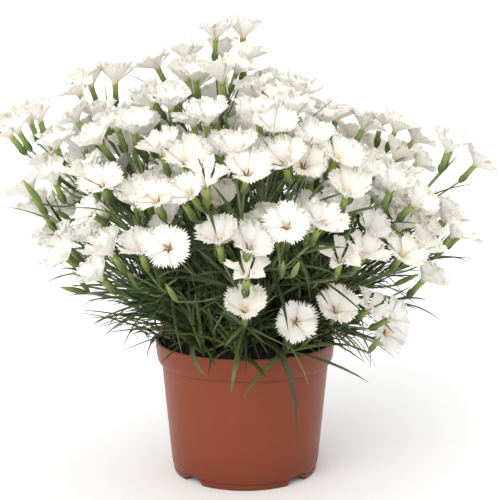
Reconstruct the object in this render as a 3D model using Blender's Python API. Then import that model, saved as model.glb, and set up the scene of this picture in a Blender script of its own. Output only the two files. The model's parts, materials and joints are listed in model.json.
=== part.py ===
"""White dianthus plant standing in its terracotta-coloured plastic nursery pot.

The pot is one turned wall with four feet. The root ball fills it and rises above
the rim. Ten leafy sprays stand in plain holes in the root ball and fork up to the
heads, and each head is a few five-petalled blooms whose petals cross.
"""

import math
import random

import bmesh
import bpy
import numpy as np

MM = 0.001

# Driving dimensions of the pot, in metres
RIM_RADIUS = 0.0650
RIM_HEIGHT = 0.0974
COLLAR_HEIGHT = 0.0170
BODY_TOP_RADIUS = 0.0605
BODY_FOOT_RADIUS = 0.0540
FOOT_RADIUS = 0.0523
FOOT_WIDTH = 0.0040
WALL = 0.0016
FLOOR_HEIGHT = 0.0050
NOTCH_HEIGHT = 0.0046
NOTCH_ANGLE = 19
NOTCH_TURNS = (45, 135, 225, 315)
DRAIN_RADIUS = 0.0040
DRAIN_RING = 0.0400
POT_SIDES = 32

# Driving dimensions of the plant, in metres
MOUND_EDGE = 0.0915
MOUND_TOP = 0.1080
CLEAR = 0.0003
BLOOM_RADIUS = 0.0158
BLOOM_DEPTH = 0.0045
TOOTH_SHARE = 0.90
GAP_SHARE = 0.61
PETALS = 5
CALYX_LENGTH = 0.0165
CALYX_RADIUS = 0.0026
STEM_RADIUS = 0.00125
TWIG_RADIUS = 0.00090
ROOT_RADIUS = 0.00055
CROWN_RADIUS = 0.0026
LEAF_HALF_WIDTH = 0.0026
LEAF_THICKNESS = 0.0010
CROSSING = 0.0258
HEAD_CURVE = 0.0550
SPRAYS = 10
CROWN_LEAVES = 4
STEM_LEAVES = (0.42, 0.66)
SEED = 31

# The heads that show from the front: the place of each bloom, in millimetres
FRONT_HEADS = [
    [(-68, 20, 297), (-42, 22, 296)],
    [(-20, 0, 318), (0, 12, 312)],
    [(-16, -60, 287)],
    [(7, -60, 283), (22, -78, 273), (38, -60, 278)],
    [(-112, 0, 282), (-93, 2, 283), (-116, -16, 267)],
    [(-147, -10, 262), (-129, -30, 251), (-142, -38, 239), (-157, -8, 240)],
    [(-148, -30, 214)],
    [(-122, -60, 205), (-139, -44, 190), (-126, -50, 174)],
    [(-93, -80, 244), (-86, -60, 262), (-67, -82, 255)],
    [(-102, -88, 226), (-86, -106, 214)],
    [(-87, -105, 190), (-66, -120, 198)],
    [(-96, -85, 160)],
    [(-66, -48, 275), (-46, -68, 268)],
    [(-54, -108, 250), (-36, -122, 240)],
    [(-23, -100, 262)],
    [(7, -117, 256), (27, -110, 257), (17, -129, 243)],
    [(-2, -138, 240), (5, -150, 223)],
    [(-19, -148, 219)],
    [(-43, -135, 190)],
    [(-17, -138, 193), (3, -142, 190)],
    [(24, -154, 203), (45, -145, 201)],
    [(0, -139, 169)],
    [(36, -95, 132)],
    [(20, -143, 234), (37, -128, 244), (53, -130, 231)],
    [(58, -136, 214), (69, -118, 231)],
    [(66, 0, 267), (56, -22, 257), (86, -8, 255)],
    [(103, 20, 262), (108, 0, 248), (130, 18, 249)],
    [(149, 0, 245), (168, 0, 231), (136, -22, 232)],
    [(103, -70, 229), (90, -95, 214), (104, -92, 198)],
    [(151, -32, 201), (154, -24, 182), (137, -43, 174)],
    [(62, -130, 189), (80, -120, 195)],
    [(93, -100, 176), (110, -86, 182)],
    [(72, -105, 160), (94, -88, 153), (104, -72, 137)],
    [(124, -55, 154)],
    [(100, -40, 111)],
    [(-54, -124, 209)],
]

# The heads of the top and the back: centre in millimetres and number of blooms
BACK_HEADS = [
    ((-36, -22, 291), 2),
    ((26, 6, 284), 3),
    ((-62, 74, 270), 4),
    ((18, 84, 268), 4),
    ((88, 74, 240), 3),
    ((-124, 66, 222), 4),
    ((-62, 139, 218), 4),
    ((22, 151, 218), 4),
    ((96, 118, 196), 4),
    ((-40, 140, 160), 3),
    ((146, 52, 190), 3),
    ((-142, 36, 176), 3),
]

# Blooms that turn a way of their own: head, bloom, direction that it faces
TURNED = {
    (18, 0): (-0.10, -0.93, 0.34),
    (22, 0): (0.06, -0.97, 0.22),
    (20, 0): (0.02, -0.86, 0.50),
    (21, 0): (0.00, -0.70, 0.72),
    (34, 0): (0.35, -0.80, 0.40),
    (1, 0): (0.05, -0.10, 0.99),
}

# Leaves that hang over the rim: three points each, in millimetres, and the half width
RIM_LEAVES = [
    ((20, -60, 112), (25, -73, 101), (35, -77, 52), 2.5),
    ((-4, -58, 110), (-5, -72, 99), (-9, -76, 78), 1.9),
    ((-30, -54, 110), (-35, -66, 102), (-25, -74, 88), 1.8),
    ((-52, -24, 112), (-76, -36, 122), (-105, -44, 116), 2.2),
    ((56, -18, 112), (76, -28, 108), (88, -34, 84), 2.3),
]


def clear_scene():
    for item in list(bpy.data.objects):
        bpy.data.objects.remove(item, do_unlink=True)
    for item in list(bpy.data.meshes):
        bpy.data.meshes.remove(item)


def make_material(name, colour, roughness):
    made = bpy.data.materials.new(name)
    made.use_nodes = True
    shader = made.node_tree.nodes["Principled BSDF"]
    shader.inputs["Base Color"].default_value = (*colour, 1.0)
    shader.inputs["Roughness"].default_value = roughness
    shader.inputs["Metallic"].default_value = 0.0
    made.diffuse_color = (*colour, 1.0)
    return made


def make_object(name, points, faces, paint, smooth=False):
    mesh = bpy.data.meshes.new(name)
    mesh.from_pydata([tuple(p) for p in points], [], faces)
    mesh.update()
    shape = bmesh.new()
    shape.from_mesh(mesh)
    bmesh.ops.recalc_face_normals(shape, faces=shape.faces)
    shape.to_mesh(mesh)
    shape.free()
    mesh.materials.append(paint)
    if smooth:
        mesh.shade_smooth()
        mesh.set_sharp_from_angle(angle=math.radians(35))
    made = bpy.data.objects.new(name, mesh)
    bpy.context.scene.collection.objects.link(made)
    return made


def apply_modifiers(item):
    graph = bpy.context.evaluated_depsgraph_get()
    mesh = bpy.data.meshes.new_from_object(item.evaluated_get(graph))
    item.modifiers.clear()
    item.data = mesh


def boolean_with(item, pieces, operation, solver="EXACT"):
    """One Boolean on a collection, applied, with the collection's objects then removed."""
    group = bpy.data.collections.new(item.name + "_pieces")
    bpy.context.scene.collection.children.link(group)
    for piece in pieces:
        bpy.context.scene.collection.objects.unlink(piece)
        group.objects.link(piece)
    step = item.modifiers.new("join", "BOOLEAN")
    step.operand_type = "COLLECTION"
    step.collection = group
    step.operation = operation
    step.solver = solver
    apply_modifiers(item)
    for piece in pieces:
        bpy.data.objects.remove(piece, do_unlink=True)
    bpy.data.collections.remove(group)


def fuse(name, shapes, paint):
    """Joins overlapping closed shapes into one body."""
    pieces = [make_object(f"{name}_{i}", *shape, paint) for i, shape in enumerate(shapes)]
    first = pieces[0]
    first.name = name
    if len(pieces) > 1:
        boolean_with(first, pieces[1:], "UNION", "MANIFOLD")
    return first


def lathe(profile, sides):
    """Closed turned body from (radius, height) points, with a single point on the axis."""
    points, rings = [], []
    for radius, height in profile:
        if radius == 0:
            rings.append([len(points)] * sides)
            points.append((0, 0, height))
            continue
        rings.append(list(range(len(points), len(points) + sides)))
        for i in range(sides):
            turn = 2 * math.pi * i / sides
            points.append((radius * math.cos(turn), radius * math.sin(turn), height))
    faces = []
    pairs = list(zip(rings, rings[1:]))
    if profile[0][0] and profile[-1][0]:
        pairs.append((rings[-1], rings[0]))
    for low, high in pairs:
        for i in range(sides):
            j = (i + 1) % sides
            corners = [low[i], low[j], high[j], high[i]]
            face = [c for k, c in enumerate(corners) if c != corners[k - 1]]
            if len(face) > 2:
                faces.append(face)
    return points, faces


def frame_of(direction):
    """Two unit directions square to this one."""
    direction = np.asarray(direction, float)
    direction = direction / np.linalg.norm(direction)
    helper = np.array([0.0, 0.0, 1.0]) if abs(direction[2]) < 0.9 else np.array([1.0, 0.0, 0.0])
    side = np.cross(helper, direction)
    side /= np.linalg.norm(side)
    return direction, side, np.cross(direction, side)


def unit(vector):
    vector = np.asarray(vector, float)
    return vector / np.linalg.norm(vector)


def tube(path, radii, sides=3, spin=0.0):
    """Closed tube along a path, with a flat end where it starts and where it ends."""
    path = np.asarray(path, float)
    points = []
    side = frame_of(path[1] - path[0])[1]
    for k in range(len(path)):
        ahead = unit(path[min(k + 1, len(path) - 1)] - path[max(k - 1, 0)])
        side = unit(side - ahead * (side @ ahead))
        up = np.cross(ahead, side)
        for i in range(sides):
            turn = spin + 2 * math.pi * i / sides
            points.append(path[k] + radii[k] * (math.cos(turn) * side + math.sin(turn) * up))
    faces = [list(range(sides))[::-1]]
    for k in range(len(path) - 1):
        for i in range(sides):
            j = (i + 1) % sides
            a, b = k * sides, (k + 1) * sides
            faces.append([a + i, a + j, b + j])
            faces.append([a + i, b + j, b + i])
    last = (len(path) - 1) * sides
    faces.append(list(range(last, last + sides)))
    return points, faces


def leaf(root, middle, tip, half_width, across):
    """Narrow keeled blade: a small end in the stem, its widest ring part way and a sharp tip."""
    root, middle, tip = (np.asarray(p, float) for p in (root, middle, tip))
    points = []
    ends = ((root, middle - root, ROOT_RADIUS, ROOT_RADIUS), (middle, tip - root, half_width, LEAF_THICKNESS))
    for place, ahead, half, thick in ends:
        along = unit(ahead)
        side = unit(np.cross(along, across))
        below = np.cross(along, side)
        points += [place + side * half, place - side * half, place + below * thick]
    points.append(tip)
    faces = [[0, 1, 2], [0, 1, 4], [0, 4, 3], [1, 2, 5], [1, 5, 4], [2, 0, 3], [2, 3, 5]]
    faces += [[3, 4, 6], [4, 5, 6], [5, 3, 6]]
    return points, faces


def bloom(centre, facing, spin, radius, lifts):
    """Five toothed petals round a sunken throat, thin at the rim and joined below."""
    facing, side, up = frame_of(facing)
    points = [centre - facing * 0.0008, centre - facing * BLOOM_DEPTH]
    step = 2 * math.pi / PETALS
    marks = ((0.0, GAP_SHARE), (0.24, 1.0), (0.5, TOOTH_SHARE), (0.76, 1.0))
    for petal in range(PETALS):
        for share, reach in marks:
            turn = spin + step * (petal - 0.5 + share)
            lift = lifts[petal] * (0.4 + reach) if share else -0.0006
            height = 0.0022 * reach + lift
            flat = math.cos(turn) * side + math.sin(turn) * up
            points.append(centre + radius * reach * flat + height * facing)
    count = len(marks) * PETALS
    faces = []
    for i in range(count):
        a, b = 2 + i, 2 + (i + 1) % count
        faces.append([0, a, b])
        faces.append([1, b, a])
    return points, faces


def inside_blooms(points, reach, blooms):
    """True for each point, by bloom, that comes within reach of that bloom's petals."""
    points = np.asarray(points, float)
    hits = []
    for place in blooms:
        gap = points - place["centre"]
        height = gap @ place["facing"]
        across = np.linalg.norm(gap - height[:, None] * place["facing"], axis=1)
        share = np.clip(across / place["radius"], 0, 1)
        low = -BLOOM_DEPTH * (1 - share) + 0.0008 * share - reach
        high = -0.0008 * (1 - share) + 0.0040 * share + reach
        low = low - 0.0012 * share
        hits.append((across < place["radius"] * 1.03 + reach) & (height > low) & (height < high))
    return np.array(hits)


def petal_samples(place):
    """Points over a bloom, for keeping heads clear of one another."""
    _, side, up = frame_of(place["facing"])
    found = [place["centre"]]
    for share, count in ((0.5, 6), (0.8, 10), (1.03, 20)):
        for i in range(count):
            turn = 2 * math.pi * i / count
            flat = math.cos(turn) * side + math.sin(turn) * up
            height = 0.0022 * share
            found.append(place["centre"] + place["radius"] * share * flat + height * place["facing"])
    return np.array(found)


def calyx_samples(place):
    """Points down a bloom's calyx and the start of its stem."""
    steps = (0.007, 0.010, 0.013, 0.016, 0.019, 0.022, 0.026, 0.030, 0.034)
    return np.array([place["centre"] - place["facing"] * step for step in steps])


def settle_head(places, head, luck):
    """Flattens one head, spaces its blooms so that petals cross, and turns each one outwards."""
    places = np.array(places, float) * MM
    middle = places.mean(axis=0)
    outward = unit(middle - np.array([0, 0, 0.120]))
    facing = unit(0.75 * outward + np.array([0, 0, 0.55]) + np.array([luck.uniform(-0.1, 0.1), luck.uniform(-0.1, 0.1), 0]))
    flat = places - middle
    flat -= np.outer(flat @ facing, facing)
    for _ in range(60):
        for i in range(len(flat)):
            for j in range(i):
                gap = flat[i] - flat[j]
                size = np.linalg.norm(gap)
                if size < 0.019:
                    push = gap / size * (0.019 - size) / 2
                    flat[i] += push
                    flat[j] -= push
            if i:
                sizes = np.linalg.norm(flat[:i] - flat[i], axis=1)
                near = int(sizes.argmin())
                if sizes[near] > CROSSING:
                    flat[i] += (flat[near] - flat[i]) * (1 - CROSSING / sizes[near])
    made = []
    for i in range(len(flat)):
        own = TURNED.get((head, i))
        face = unit(own) if own else unit(facing + flat[i] / HEAD_CURVE)
        _, side, up = frame_of(face)
        spin = luck.uniform(0, 1.25)
        if i:
            sizes = np.linalg.norm(flat[:i] - flat[i], axis=1)
            towards = flat[int(sizes.argmin())] - flat[i]
            spin = math.atan2(towards @ up, towards @ side) + luck.uniform(-0.12, 0.12)
        place = {
            "centre": middle + flat[i] - facing * (flat[i] @ flat[i]) / (2 * HEAD_CURVE),
            "facing": face,
            "spin": spin,
            "radius": BLOOM_RADIUS * luck.uniform(0.97, 1.03),
            "lifts": [luck.uniform(-0.0004, 0.0006) for _ in range(PETALS)],
            "head": head,
        }
        made.append(place)
    return made


def place_blooms(luck):
    """Every bloom of the plant, head by head, moved apart until no two heads touch."""
    heads = []
    for row in FRONT_HEADS:
        heads.append(settle_head(row, len(heads), luck))
    for centre, count in BACK_HEADS:
        middle = np.array(centre, float)
        outward, side, up = frame_of(middle - np.array([0, 0, 120.0]))
        start = luck.uniform(0, 2 * math.pi)
        row = []
        for i in range(count):
            turn = start + i * 2 * math.pi / count
            row.append(middle + 15.0 * (math.cos(turn) * side + math.sin(turn) * up))
        heads.append(settle_head(row, len(heads), luck))
    for _ in range(160):
        moved = False
        flat = [place for head in heads for place in head]
        centres = np.array([place["centre"] for place in flat])
        shifts = [np.zeros(3) for _ in heads]
        for i, place in enumerate(flat):
            near = [
                j for j in np.nonzero(np.linalg.norm(centres - centres[i], axis=1) < 0.048)[0]
                if flat[j]["head"] != place["head"]
            ]
            if not near:
                continue
            others = [flat[j] for j in near]
            petals = inside_blooms(petal_samples(place), 0.0013, others).any(axis=1)
            calyx = inside_blooms(calyx_samples(place), 0.0030, others).any(axis=1)
            for j, met in zip(near, petals | calyx):
                if not met:
                    continue
                moved = True
                gap = place["centre"] - flat[j]["centre"]
                normal = unit(place["facing"] + flat[j]["facing"])
                away = unit(gap) + normal * (1.2 if gap @ normal > 0 else -1.2)
                shifts[place["head"]] += unit(away) * 0.0006
                shifts[flat[j]["head"]] -= unit(away) * 0.0006
        for head, shift in zip(heads, shifts):
            size = np.linalg.norm(shift)
            if size > 0.0012:
                shift = shift * 0.0012 / size
            for place in head:
                place["centre"] = place["centre"] + shift
        if not moved:
            break
    return heads


def mound_height(radius):
    """Height of the root ball's top at a distance from the pot's axis."""
    share = min(radius / 0.0625, 1.0)
    return MOUND_TOP - (MOUND_TOP - MOUND_EDGE) * share**2.4


def off_pot(points, reach):
    """True where every point is clear of the pot and the root ball."""
    for point, gap in zip(points, reach):
        radius = math.hypot(point[0], point[1])
        if radius < RIM_RADIUS + 0.0006 + gap:
            top = max(mound_height(radius), RIM_HEIGHT if radius > 0.058 else 0)
            if point[2] < top + 0.0006 + gap:
                return False
    return True


def along_path(path, radii, step=0.0022):
    """Points and radii read every couple of millimetres along a path."""
    found, sizes = [], []
    for a, b, r, s in zip(path, path[1:], radii, radii[1:]):
        count = max(2, int(np.linalg.norm(b - a) / step) + 1)
        for i in range(count):
            share = i / count
            found.append(a + (b - a) * share)
            sizes.append(r + (s - r) * share)
    found.append(path[-1])
    sizes.append(radii[-1])
    return np.array(found), np.array(sizes)


class Room:
    """What already stands in the plant, so that the next piece can be bent clear of it."""

    def __init__(self, blooms):
        self.blooms = blooms
        self.points = np.zeros((0, 3))
        self.sizes = np.zeros(0)
        self.owners = np.zeros(0, int)

    def add(self, points, sizes, owner):
        self.points = np.vstack([self.points, points])
        self.sizes = np.concatenate([self.sizes, sizes])
        self.owners = np.concatenate([self.owners, np.full(len(points), owner)])

    def clashes(self, points, sizes, owner, root, free=0.005):
        """How many of the points come too near a bloom or another stem or leaf, past its own root."""
        far = np.linalg.norm(points - root, axis=1) > free
        count = int(inside_blooms(points, 0.0005 + float(sizes.max()) * 0.8, self.blooms).sum())
        for own in (False, True):
            mine = points[far] if own else points
            size = sizes[far] if own else sizes
            others = (self.owners == owner) == own
            if not others.any() or not len(mine):
                continue
            gaps = np.linalg.norm(mine[:, None] - self.points[None, others], axis=2)
            gaps = gaps - size[:, None] - self.sizes[None, others] - 0.0005
            if own:
                near = np.linalg.norm(self.points[others] - root, axis=1) < free
                gaps = gaps[:, ~near]
            count += int((gaps < 0).any(axis=1).sum())
        return count


def spray_of(middle):
    """The spray that carries a head: three in the middle for the top, seven round the edge."""
    angle = math.degrees(math.atan2(middle[1], middle[0])) % 360
    lean = math.degrees(math.atan2(math.hypot(middle[0], middle[1]), middle[2] - 0.085))
    if lean < 27:
        return int(((angle + 30) % 360) // 120)
    return 3 + int(((angle + 12) % 360) // (360 / 7))


def spray_root(spray):
    """Foot of a spray in the root ball and the way it starts."""
    if spray < 3:
        turn = math.radians(spray * 120 + 30)
        out, lean = 0.013, 0.06
    else:
        turn = math.radians((spray - 3 + 0.5) * 360 / 7 - 12)
        out, lean = 0.040, 0.42
    radial = np.array([math.cos(turn), math.sin(turn), 0.0])
    start = unit(radial * lean + np.array([0, 0, 1.0]))
    top = mound_height(out)
    foot = radial * out + np.array([0, 0, top])
    return foot, start


def stem_start(stems, crown, fork):
    """Where a head's stem leaves its spray: part way up a stem that is there, or the crown."""
    _, high, start = crown
    best = (np.linalg.norm(fork - high) * 0.9, high - start * 0.002, start)
    for stem in stems:
        for a, b, lowest, highest in ((stem[0], stem[1], 0.35, 1.0), (stem[1], stem[2], 0.0, 0.45)):
            ahead = unit(b - a)
            for step in range(5):
                spot = a + (b - a) * (lowest + (highest - lowest) * (step + 0.5) / 5)
                gap = fork - spot
                size = np.linalg.norm(gap)
                if size < 0.025 or gap @ ahead < 0.62 * size:
                    continue
                if size < best[0]:
                    best = (size, spot, ahead)
    return best[1], best[2]


def head_paths(head, fork, base, start, luck, loose):
    """The stem of a head, which ends in its first bloom, and a twig for each other bloom."""
    bend = base + (fork - base) * 0.5 + start * 0.006
    bend = bend + np.array([luck.uniform(-1, 1) for _ in range(3)]) * loose
    rise = unit(fork - bend)
    paths = []
    fits = [unit(place["centre"] - place["facing"] * CALYX_LENGTH - fork) @ rise for place in head]
    lined = sorted(range(len(head)), key=lambda i: -fits[i])
    for number, place in enumerate(head[i] for i in lined):
        neck = place["centre"] - place["facing"] * (BLOOM_DEPTH + 0.0004)
        waist = neck - place["facing"] * CALYX_LENGTH * 0.5
        knee = neck - place["facing"] * CALYX_LENGTH
        ends = [knee, waist, neck]
        sizes = [TWIG_RADIUS, CALYX_RADIUS * 0.95, CALYX_RADIUS]
        if number == 0:
            paths.append(([base, bend, fork] + ends, [ROOT_RADIUS, STEM_RADIUS, STEM_RADIUS] + sizes))
        else:
            spot = fork - rise * (0.0055 * number - 0.001)
            paths.append(([spot] + ends, [ROOT_RADIUS] + sizes))
    return paths


def grow_head(number, head, spray, stems, crown, room, luck):
    """The clearest of many tries at one head's stem and twigs."""
    middle = np.mean([place["centre"] for place in head], axis=0)
    facing = unit(sum(place["facing"] for place in head))
    inward = unit(facing + 0.9 * unit(middle - np.array([0, 0, 0.110])))
    best = None
    for attempt in range(200):
        loose = min(attempt, 70) * 0.0004
        span = np.linalg.norm(middle - crown[1])
        nudge = np.array([luck.uniform(-1, 1) for _ in range(3)]) * loose
        fork = middle - inward * min(0.044, 0.4 * span)
        fork = fork * 0.84 + crown[1] * 0.16 + nudge
        base, start = stem_start(stems, crown, fork)
        paths = head_paths(head, fork, base, start, luck, loose * 0.6)
        count = 0
        for path, radii in paths:
            points, sizes = along_path(path, radii)
            keep = np.linalg.norm(points - path[-1], axis=1) > 0.0035
            count += room.clashes(points[keep], sizes[keep], spray, path[0])
            if not off_pot(points[3:], sizes[3:]):
                count += 5
            runs = [unit(b - a) for a, b in zip(path, path[1:])]
            if min(a @ b for a, b in zip(runs, runs[1:])) < 0.35:
                count += 10
        if best is None or count < best[0]:
            best = (count, paths)
        if not count:
            break
    if best[0]:
        print("head", number + 1, "spray", spray + 1, "still meets", best[0])
    return best[1]


def grow(heads, luck):
    """Stems, calyces and leaves of every spray, each list of shapes by spray."""
    room = Room([place for head in heads for place in head])
    shapes = [[] for _ in range(SPRAYS)]
    stems = [[] for _ in range(SPRAYS)]
    crowns = []
    for spray in range(SPRAYS):
        foot, start = spray_root(spray)
        low, high = foot - start * 0.012, foot + start * 0.008
        crowns.append((low, high, start))
        shapes[spray].append(tube([low, high], [CROWN_RADIUS, CROWN_RADIUS], 5))
        points, sizes = along_path([low, high], [CROWN_RADIUS, CROWN_RADIUS])
        room.add(points, sizes, spray)
    middles = [np.mean([place["centre"] for place in head], axis=0) for head in heads]
    for number in sorted(range(len(heads)), key=lambda h: -np.linalg.norm(middles[h])):
        spray = spray_of(middles[number])
        paths = grow_head(number, heads[number], spray, stems[spray], crowns[spray], room, luck)
        for path, radii in paths:
            shapes[spray].append(tube(path, radii, 3, luck.uniform(0, 2)))
            room.add(*along_path(path, radii), spray)
        stems[spray].append(paths[0][0][:3])
    for row in RIM_LEAVES:
        nearest = np.array(row[0]) * MM
        middle, tip = np.array(row[1]) * MM, np.array(row[2]) * MM
        spray = int(np.argmin([np.linalg.norm(crown[1] - nearest) for crown in crowns]))
        root = crowns[spray][1] - crowns[spray][2] * 0.0025
        half = row[3] * MM
        shapes[spray].append(leaf(root, middle, tip, half, np.array([0, 0, 1.0]) + unit(middle) * 0.2))
        points, sizes = along_path([root, middle, tip], [ROOT_RADIUS, half, 0.0003])
        room.add(points, sizes, spray)
        if not off_pot(points[4:], sizes[4:] * 0.3):
            print("rim leaf meets the pot", row)
    count = 0
    for spray in range(SPRAYS):
        count += grow_leaves(spray, stems[spray], crowns[spray], room, shapes[spray], luck)
    print("blooms", len(room.blooms), "leaves", count + len(RIM_LEAVES))
    return shapes, crowns


def try_leaf(spray, root, along, room, luck, length, spread, fall):
    """A leaf that leaves its stem at an angle and arches over, or nothing where there is no room."""
    _, side, up = frame_of(along)
    for _ in range(16):
        turn = luck.uniform(0, 2 * math.pi)
        out = math.cos(turn) * side + math.sin(turn) * up
        size = length * luck.uniform(0.8, 1.2)
        lean = spread * luck.uniform(0.75, 1.2)
        first = unit(along * math.cos(lean) + out * math.sin(lean))
        second = unit(first + out * 0.45 - np.array([0, 0, fall]))
        middle = root + first * size * 0.48
        tip = middle + second * size * 0.52
        half = LEAF_HALF_WIDTH * luck.uniform(0.75, 1.1)
        points, sizes = along_path([root, middle, tip], [ROOT_RADIUS, half, 0.0003])
        if not off_pot(points[3:], sizes[3:]) or room.clashes(points, sizes, spray, root):
            continue
        room.add(points, sizes, spray)
        return leaf(root, middle, tip, half, out + along * 0.2)
    return None


def grow_leaves(spray, stems, crown, room, shapes, luck):
    """Leaves round the crown and at steps up each stem; gives how many found room."""
    _, high, start = crown
    made = []
    for _ in range(CROWN_LEAVES):
        made.append(try_leaf(spray, high - start * 0.003, start, room, luck, 0.062, 1.0, 0.25))
    for base, bend, fork in stems:
        for share in STEM_LEAVES:
            a, b, part = (base, bend, share * 2) if share < 0.5 else (bend, fork, share * 2 - 1)
            root = a + (b - a) * part
            made.append(try_leaf(spray, root, unit(b - a), room, luck, 0.046, 0.72, 0.15))
    made = [shape for shape in made if shape]
    shapes.extend(made)
    return len(made)


def build_pot(paint):
    top = RIM_HEIGHT
    collar = top - COLLAR_HEIGHT
    inner = FOOT_RADIUS - FOOT_WIDTH
    profile = [
        (inner, 0.0),
        (FOOT_RADIUS - 0.0003, 0.0),
        (FOOT_RADIUS + 0.0011, 0.0032),
        (BODY_FOOT_RADIUS, 0.0085),
        (BODY_TOP_RADIUS, collar - 0.0004),
        (BODY_TOP_RADIUS + 0.0012, collar),
        (RIM_RADIUS - 0.0016, collar + 0.0060),
        (RIM_RADIUS - 0.0004, top - 0.0050),
        (RIM_RADIUS, top - 0.0010),
        (RIM_RADIUS - 0.0006, top),
        (RIM_RADIUS - 0.0018, top - 0.0002),
        (RIM_RADIUS - 0.0022 - WALL, collar + 0.0050),
        (BODY_TOP_RADIUS - WALL, collar - 0.0020),
        (BODY_FOOT_RADIUS - WALL, 0.0090),
        (BODY_FOOT_RADIUS - WALL - 0.0020, FLOOR_HEIGHT + WALL),
        (0, FLOOR_HEIGHT + WALL),
        (0, FLOOR_HEIGHT),
        (inner - 0.0006, FLOOR_HEIGHT),
    ]
    points, faces = lathe(profile, POT_SIDES)
    pot = make_object("pot", points, faces, paint, smooth=True)
    cutters = []
    half = math.radians(NOTCH_ANGLE / 2) * FOOT_RADIUS
    for turn in NOTCH_TURNS:
        angle = math.radians(turn)
        along = np.array([math.cos(angle), math.sin(angle), 0])
        side = np.array([-math.sin(angle), math.cos(angle), 0])
        outline = [(-half, -0.002), (-half, NOTCH_HEIGHT * 0.35), (-half * 0.55, NOTCH_HEIGHT * 0.88)]
        outline += [(0.0, NOTCH_HEIGHT), (half * 0.55, NOTCH_HEIGHT * 0.88)]
        outline += [(half, NOTCH_HEIGHT * 0.35), (half, -0.002)]
        ends = []
        for reach in (inner - 0.0040, FOOT_RADIUS + 0.0060):
            ends += [along * reach + side * s + np.array([0, 0, z]) for s, z in outline]
        count = len(outline)
        walls = [[i, (i + 1) % count, count + (i + 1) % count, count + i] for i in range(count)]
        caps = [list(range(count))[::-1], list(range(count, 2 * count))]
        cutters.append(make_object(f"notch_{turn}", ends, walls + caps, paint))
        hole = lathe([(0, FLOOR_HEIGHT - 0.002), (DRAIN_RADIUS, FLOOR_HEIGHT - 0.002),
                      (DRAIN_RADIUS, FLOOR_HEIGHT + WALL + 0.002), (0, FLOOR_HEIGHT + WALL + 0.002)], 10)
        spot = [(p[0] + along[0] * DRAIN_RING, p[1] + along[1] * DRAIN_RING, p[2]) for p in hole[0]]
        cutters.append(make_object(f"drain_{turn}", spot, hole[1], paint))
    boolean_with(pot, cutters, "DIFFERENCE")
    return pot


def build_soil(paint, crowns, luck):
    collar = RIM_HEIGHT - COLLAR_HEIGHT
    profile = [
        (0, FLOOR_HEIGHT + WALL + CLEAR),
        (BODY_FOOT_RADIUS - WALL - 0.0020 - CLEAR, FLOOR_HEIGHT + WALL + CLEAR),
        (BODY_FOOT_RADIUS - WALL - CLEAR * 1.5, 0.0092),
        (BODY_TOP_RADIUS - WALL - CLEAR * 1.5, collar - 0.0020),
        (0.0595, MOUND_EDGE + 0.0020),
        (0.0520, 0.0985),
        (0.0400, 0.1036),
        (0.0220, 0.1070),
        (0, MOUND_TOP),
    ]
    points, faces = lathe(profile, 22)
    rough = []
    for x, y, z in points:
        radius = math.hypot(x, y)
        if z > MOUND_EDGE and radius < 0.056:
            wave = 0.0012 * math.sin(x * 210 + 1.0) * math.cos(y * 170)
            z = z + wave - 0.0008 + luck.uniform(-0.0006, 0.0006)
        rough.append((x, y, z))
    soil = make_object("soil", rough, faces, paint)
    cutters = []
    for number, (low, high, start) in enumerate(crowns):
        path = np.array([low - start * 0.0006, high])
        cutters.append(make_object(f"hole_{number}", *tube(path, [CROWN_RADIUS + 0.0005] * 2, 5), paint))
    boolean_with(soil, cutters, "DIFFERENCE")
    return soil


def main():
    clear_scene()
    luck = random.Random(SEED)
    terracotta = make_material("terracotta_plastic", (0.34, 0.094, 0.048), 0.42)
    earth = make_material("root_ball", (0.030, 0.020, 0.014), 0.95)
    green = make_material("leaf_green", (0.070, 0.125, 0.035), 0.55)
    white = make_material("petal_white", (0.86, 0.85, 0.80), 0.55)
    heads = place_blooms(luck)
    shapes, crowns = grow(heads, luck)
    build_pot(terracotta)
    build_soil(earth, crowns, luck)
    for number, row in enumerate(shapes):
        fuse(f"spray_{number + 1:02d}", row, green)
    for number, head in enumerate(heads):
        rows = [
            bloom(p["centre"], p["facing"], p["spin"], p["radius"], p["lifts"]) for p in head
        ]
        fuse(f"head_{number + 1:02d}", rows, white)


main()
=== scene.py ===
import json
import math
import random

import bpy
import numpy as np
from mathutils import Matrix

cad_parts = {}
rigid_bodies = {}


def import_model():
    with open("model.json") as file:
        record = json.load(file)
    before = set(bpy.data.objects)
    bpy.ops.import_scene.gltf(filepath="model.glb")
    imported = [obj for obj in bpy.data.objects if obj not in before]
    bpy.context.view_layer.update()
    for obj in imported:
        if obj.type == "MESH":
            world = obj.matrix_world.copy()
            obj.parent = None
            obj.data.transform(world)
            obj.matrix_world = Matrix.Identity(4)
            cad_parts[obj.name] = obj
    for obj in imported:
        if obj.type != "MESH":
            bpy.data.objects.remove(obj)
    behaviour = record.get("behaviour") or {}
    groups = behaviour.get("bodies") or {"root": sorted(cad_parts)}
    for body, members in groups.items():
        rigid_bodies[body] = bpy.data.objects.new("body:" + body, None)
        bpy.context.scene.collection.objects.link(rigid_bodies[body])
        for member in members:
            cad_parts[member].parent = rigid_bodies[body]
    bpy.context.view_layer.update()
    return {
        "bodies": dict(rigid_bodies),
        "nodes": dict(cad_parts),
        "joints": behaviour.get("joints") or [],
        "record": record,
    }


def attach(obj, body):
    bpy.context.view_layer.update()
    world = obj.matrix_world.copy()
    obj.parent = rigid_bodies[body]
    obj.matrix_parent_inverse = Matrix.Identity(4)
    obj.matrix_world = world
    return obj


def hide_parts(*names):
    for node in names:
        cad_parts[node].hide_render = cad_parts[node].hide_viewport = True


# White dianthus in its nursery pot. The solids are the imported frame. This script repeats the seeded
# rule that placed their blooms and stems, and dresses each one with a finer surface.
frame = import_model()
mm = 0.001
up = np.array([0.0, 0.0, 1.0])
down = -up
heart = 0.110 * up  # the middle of the plant, which its blooms face away from

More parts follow.
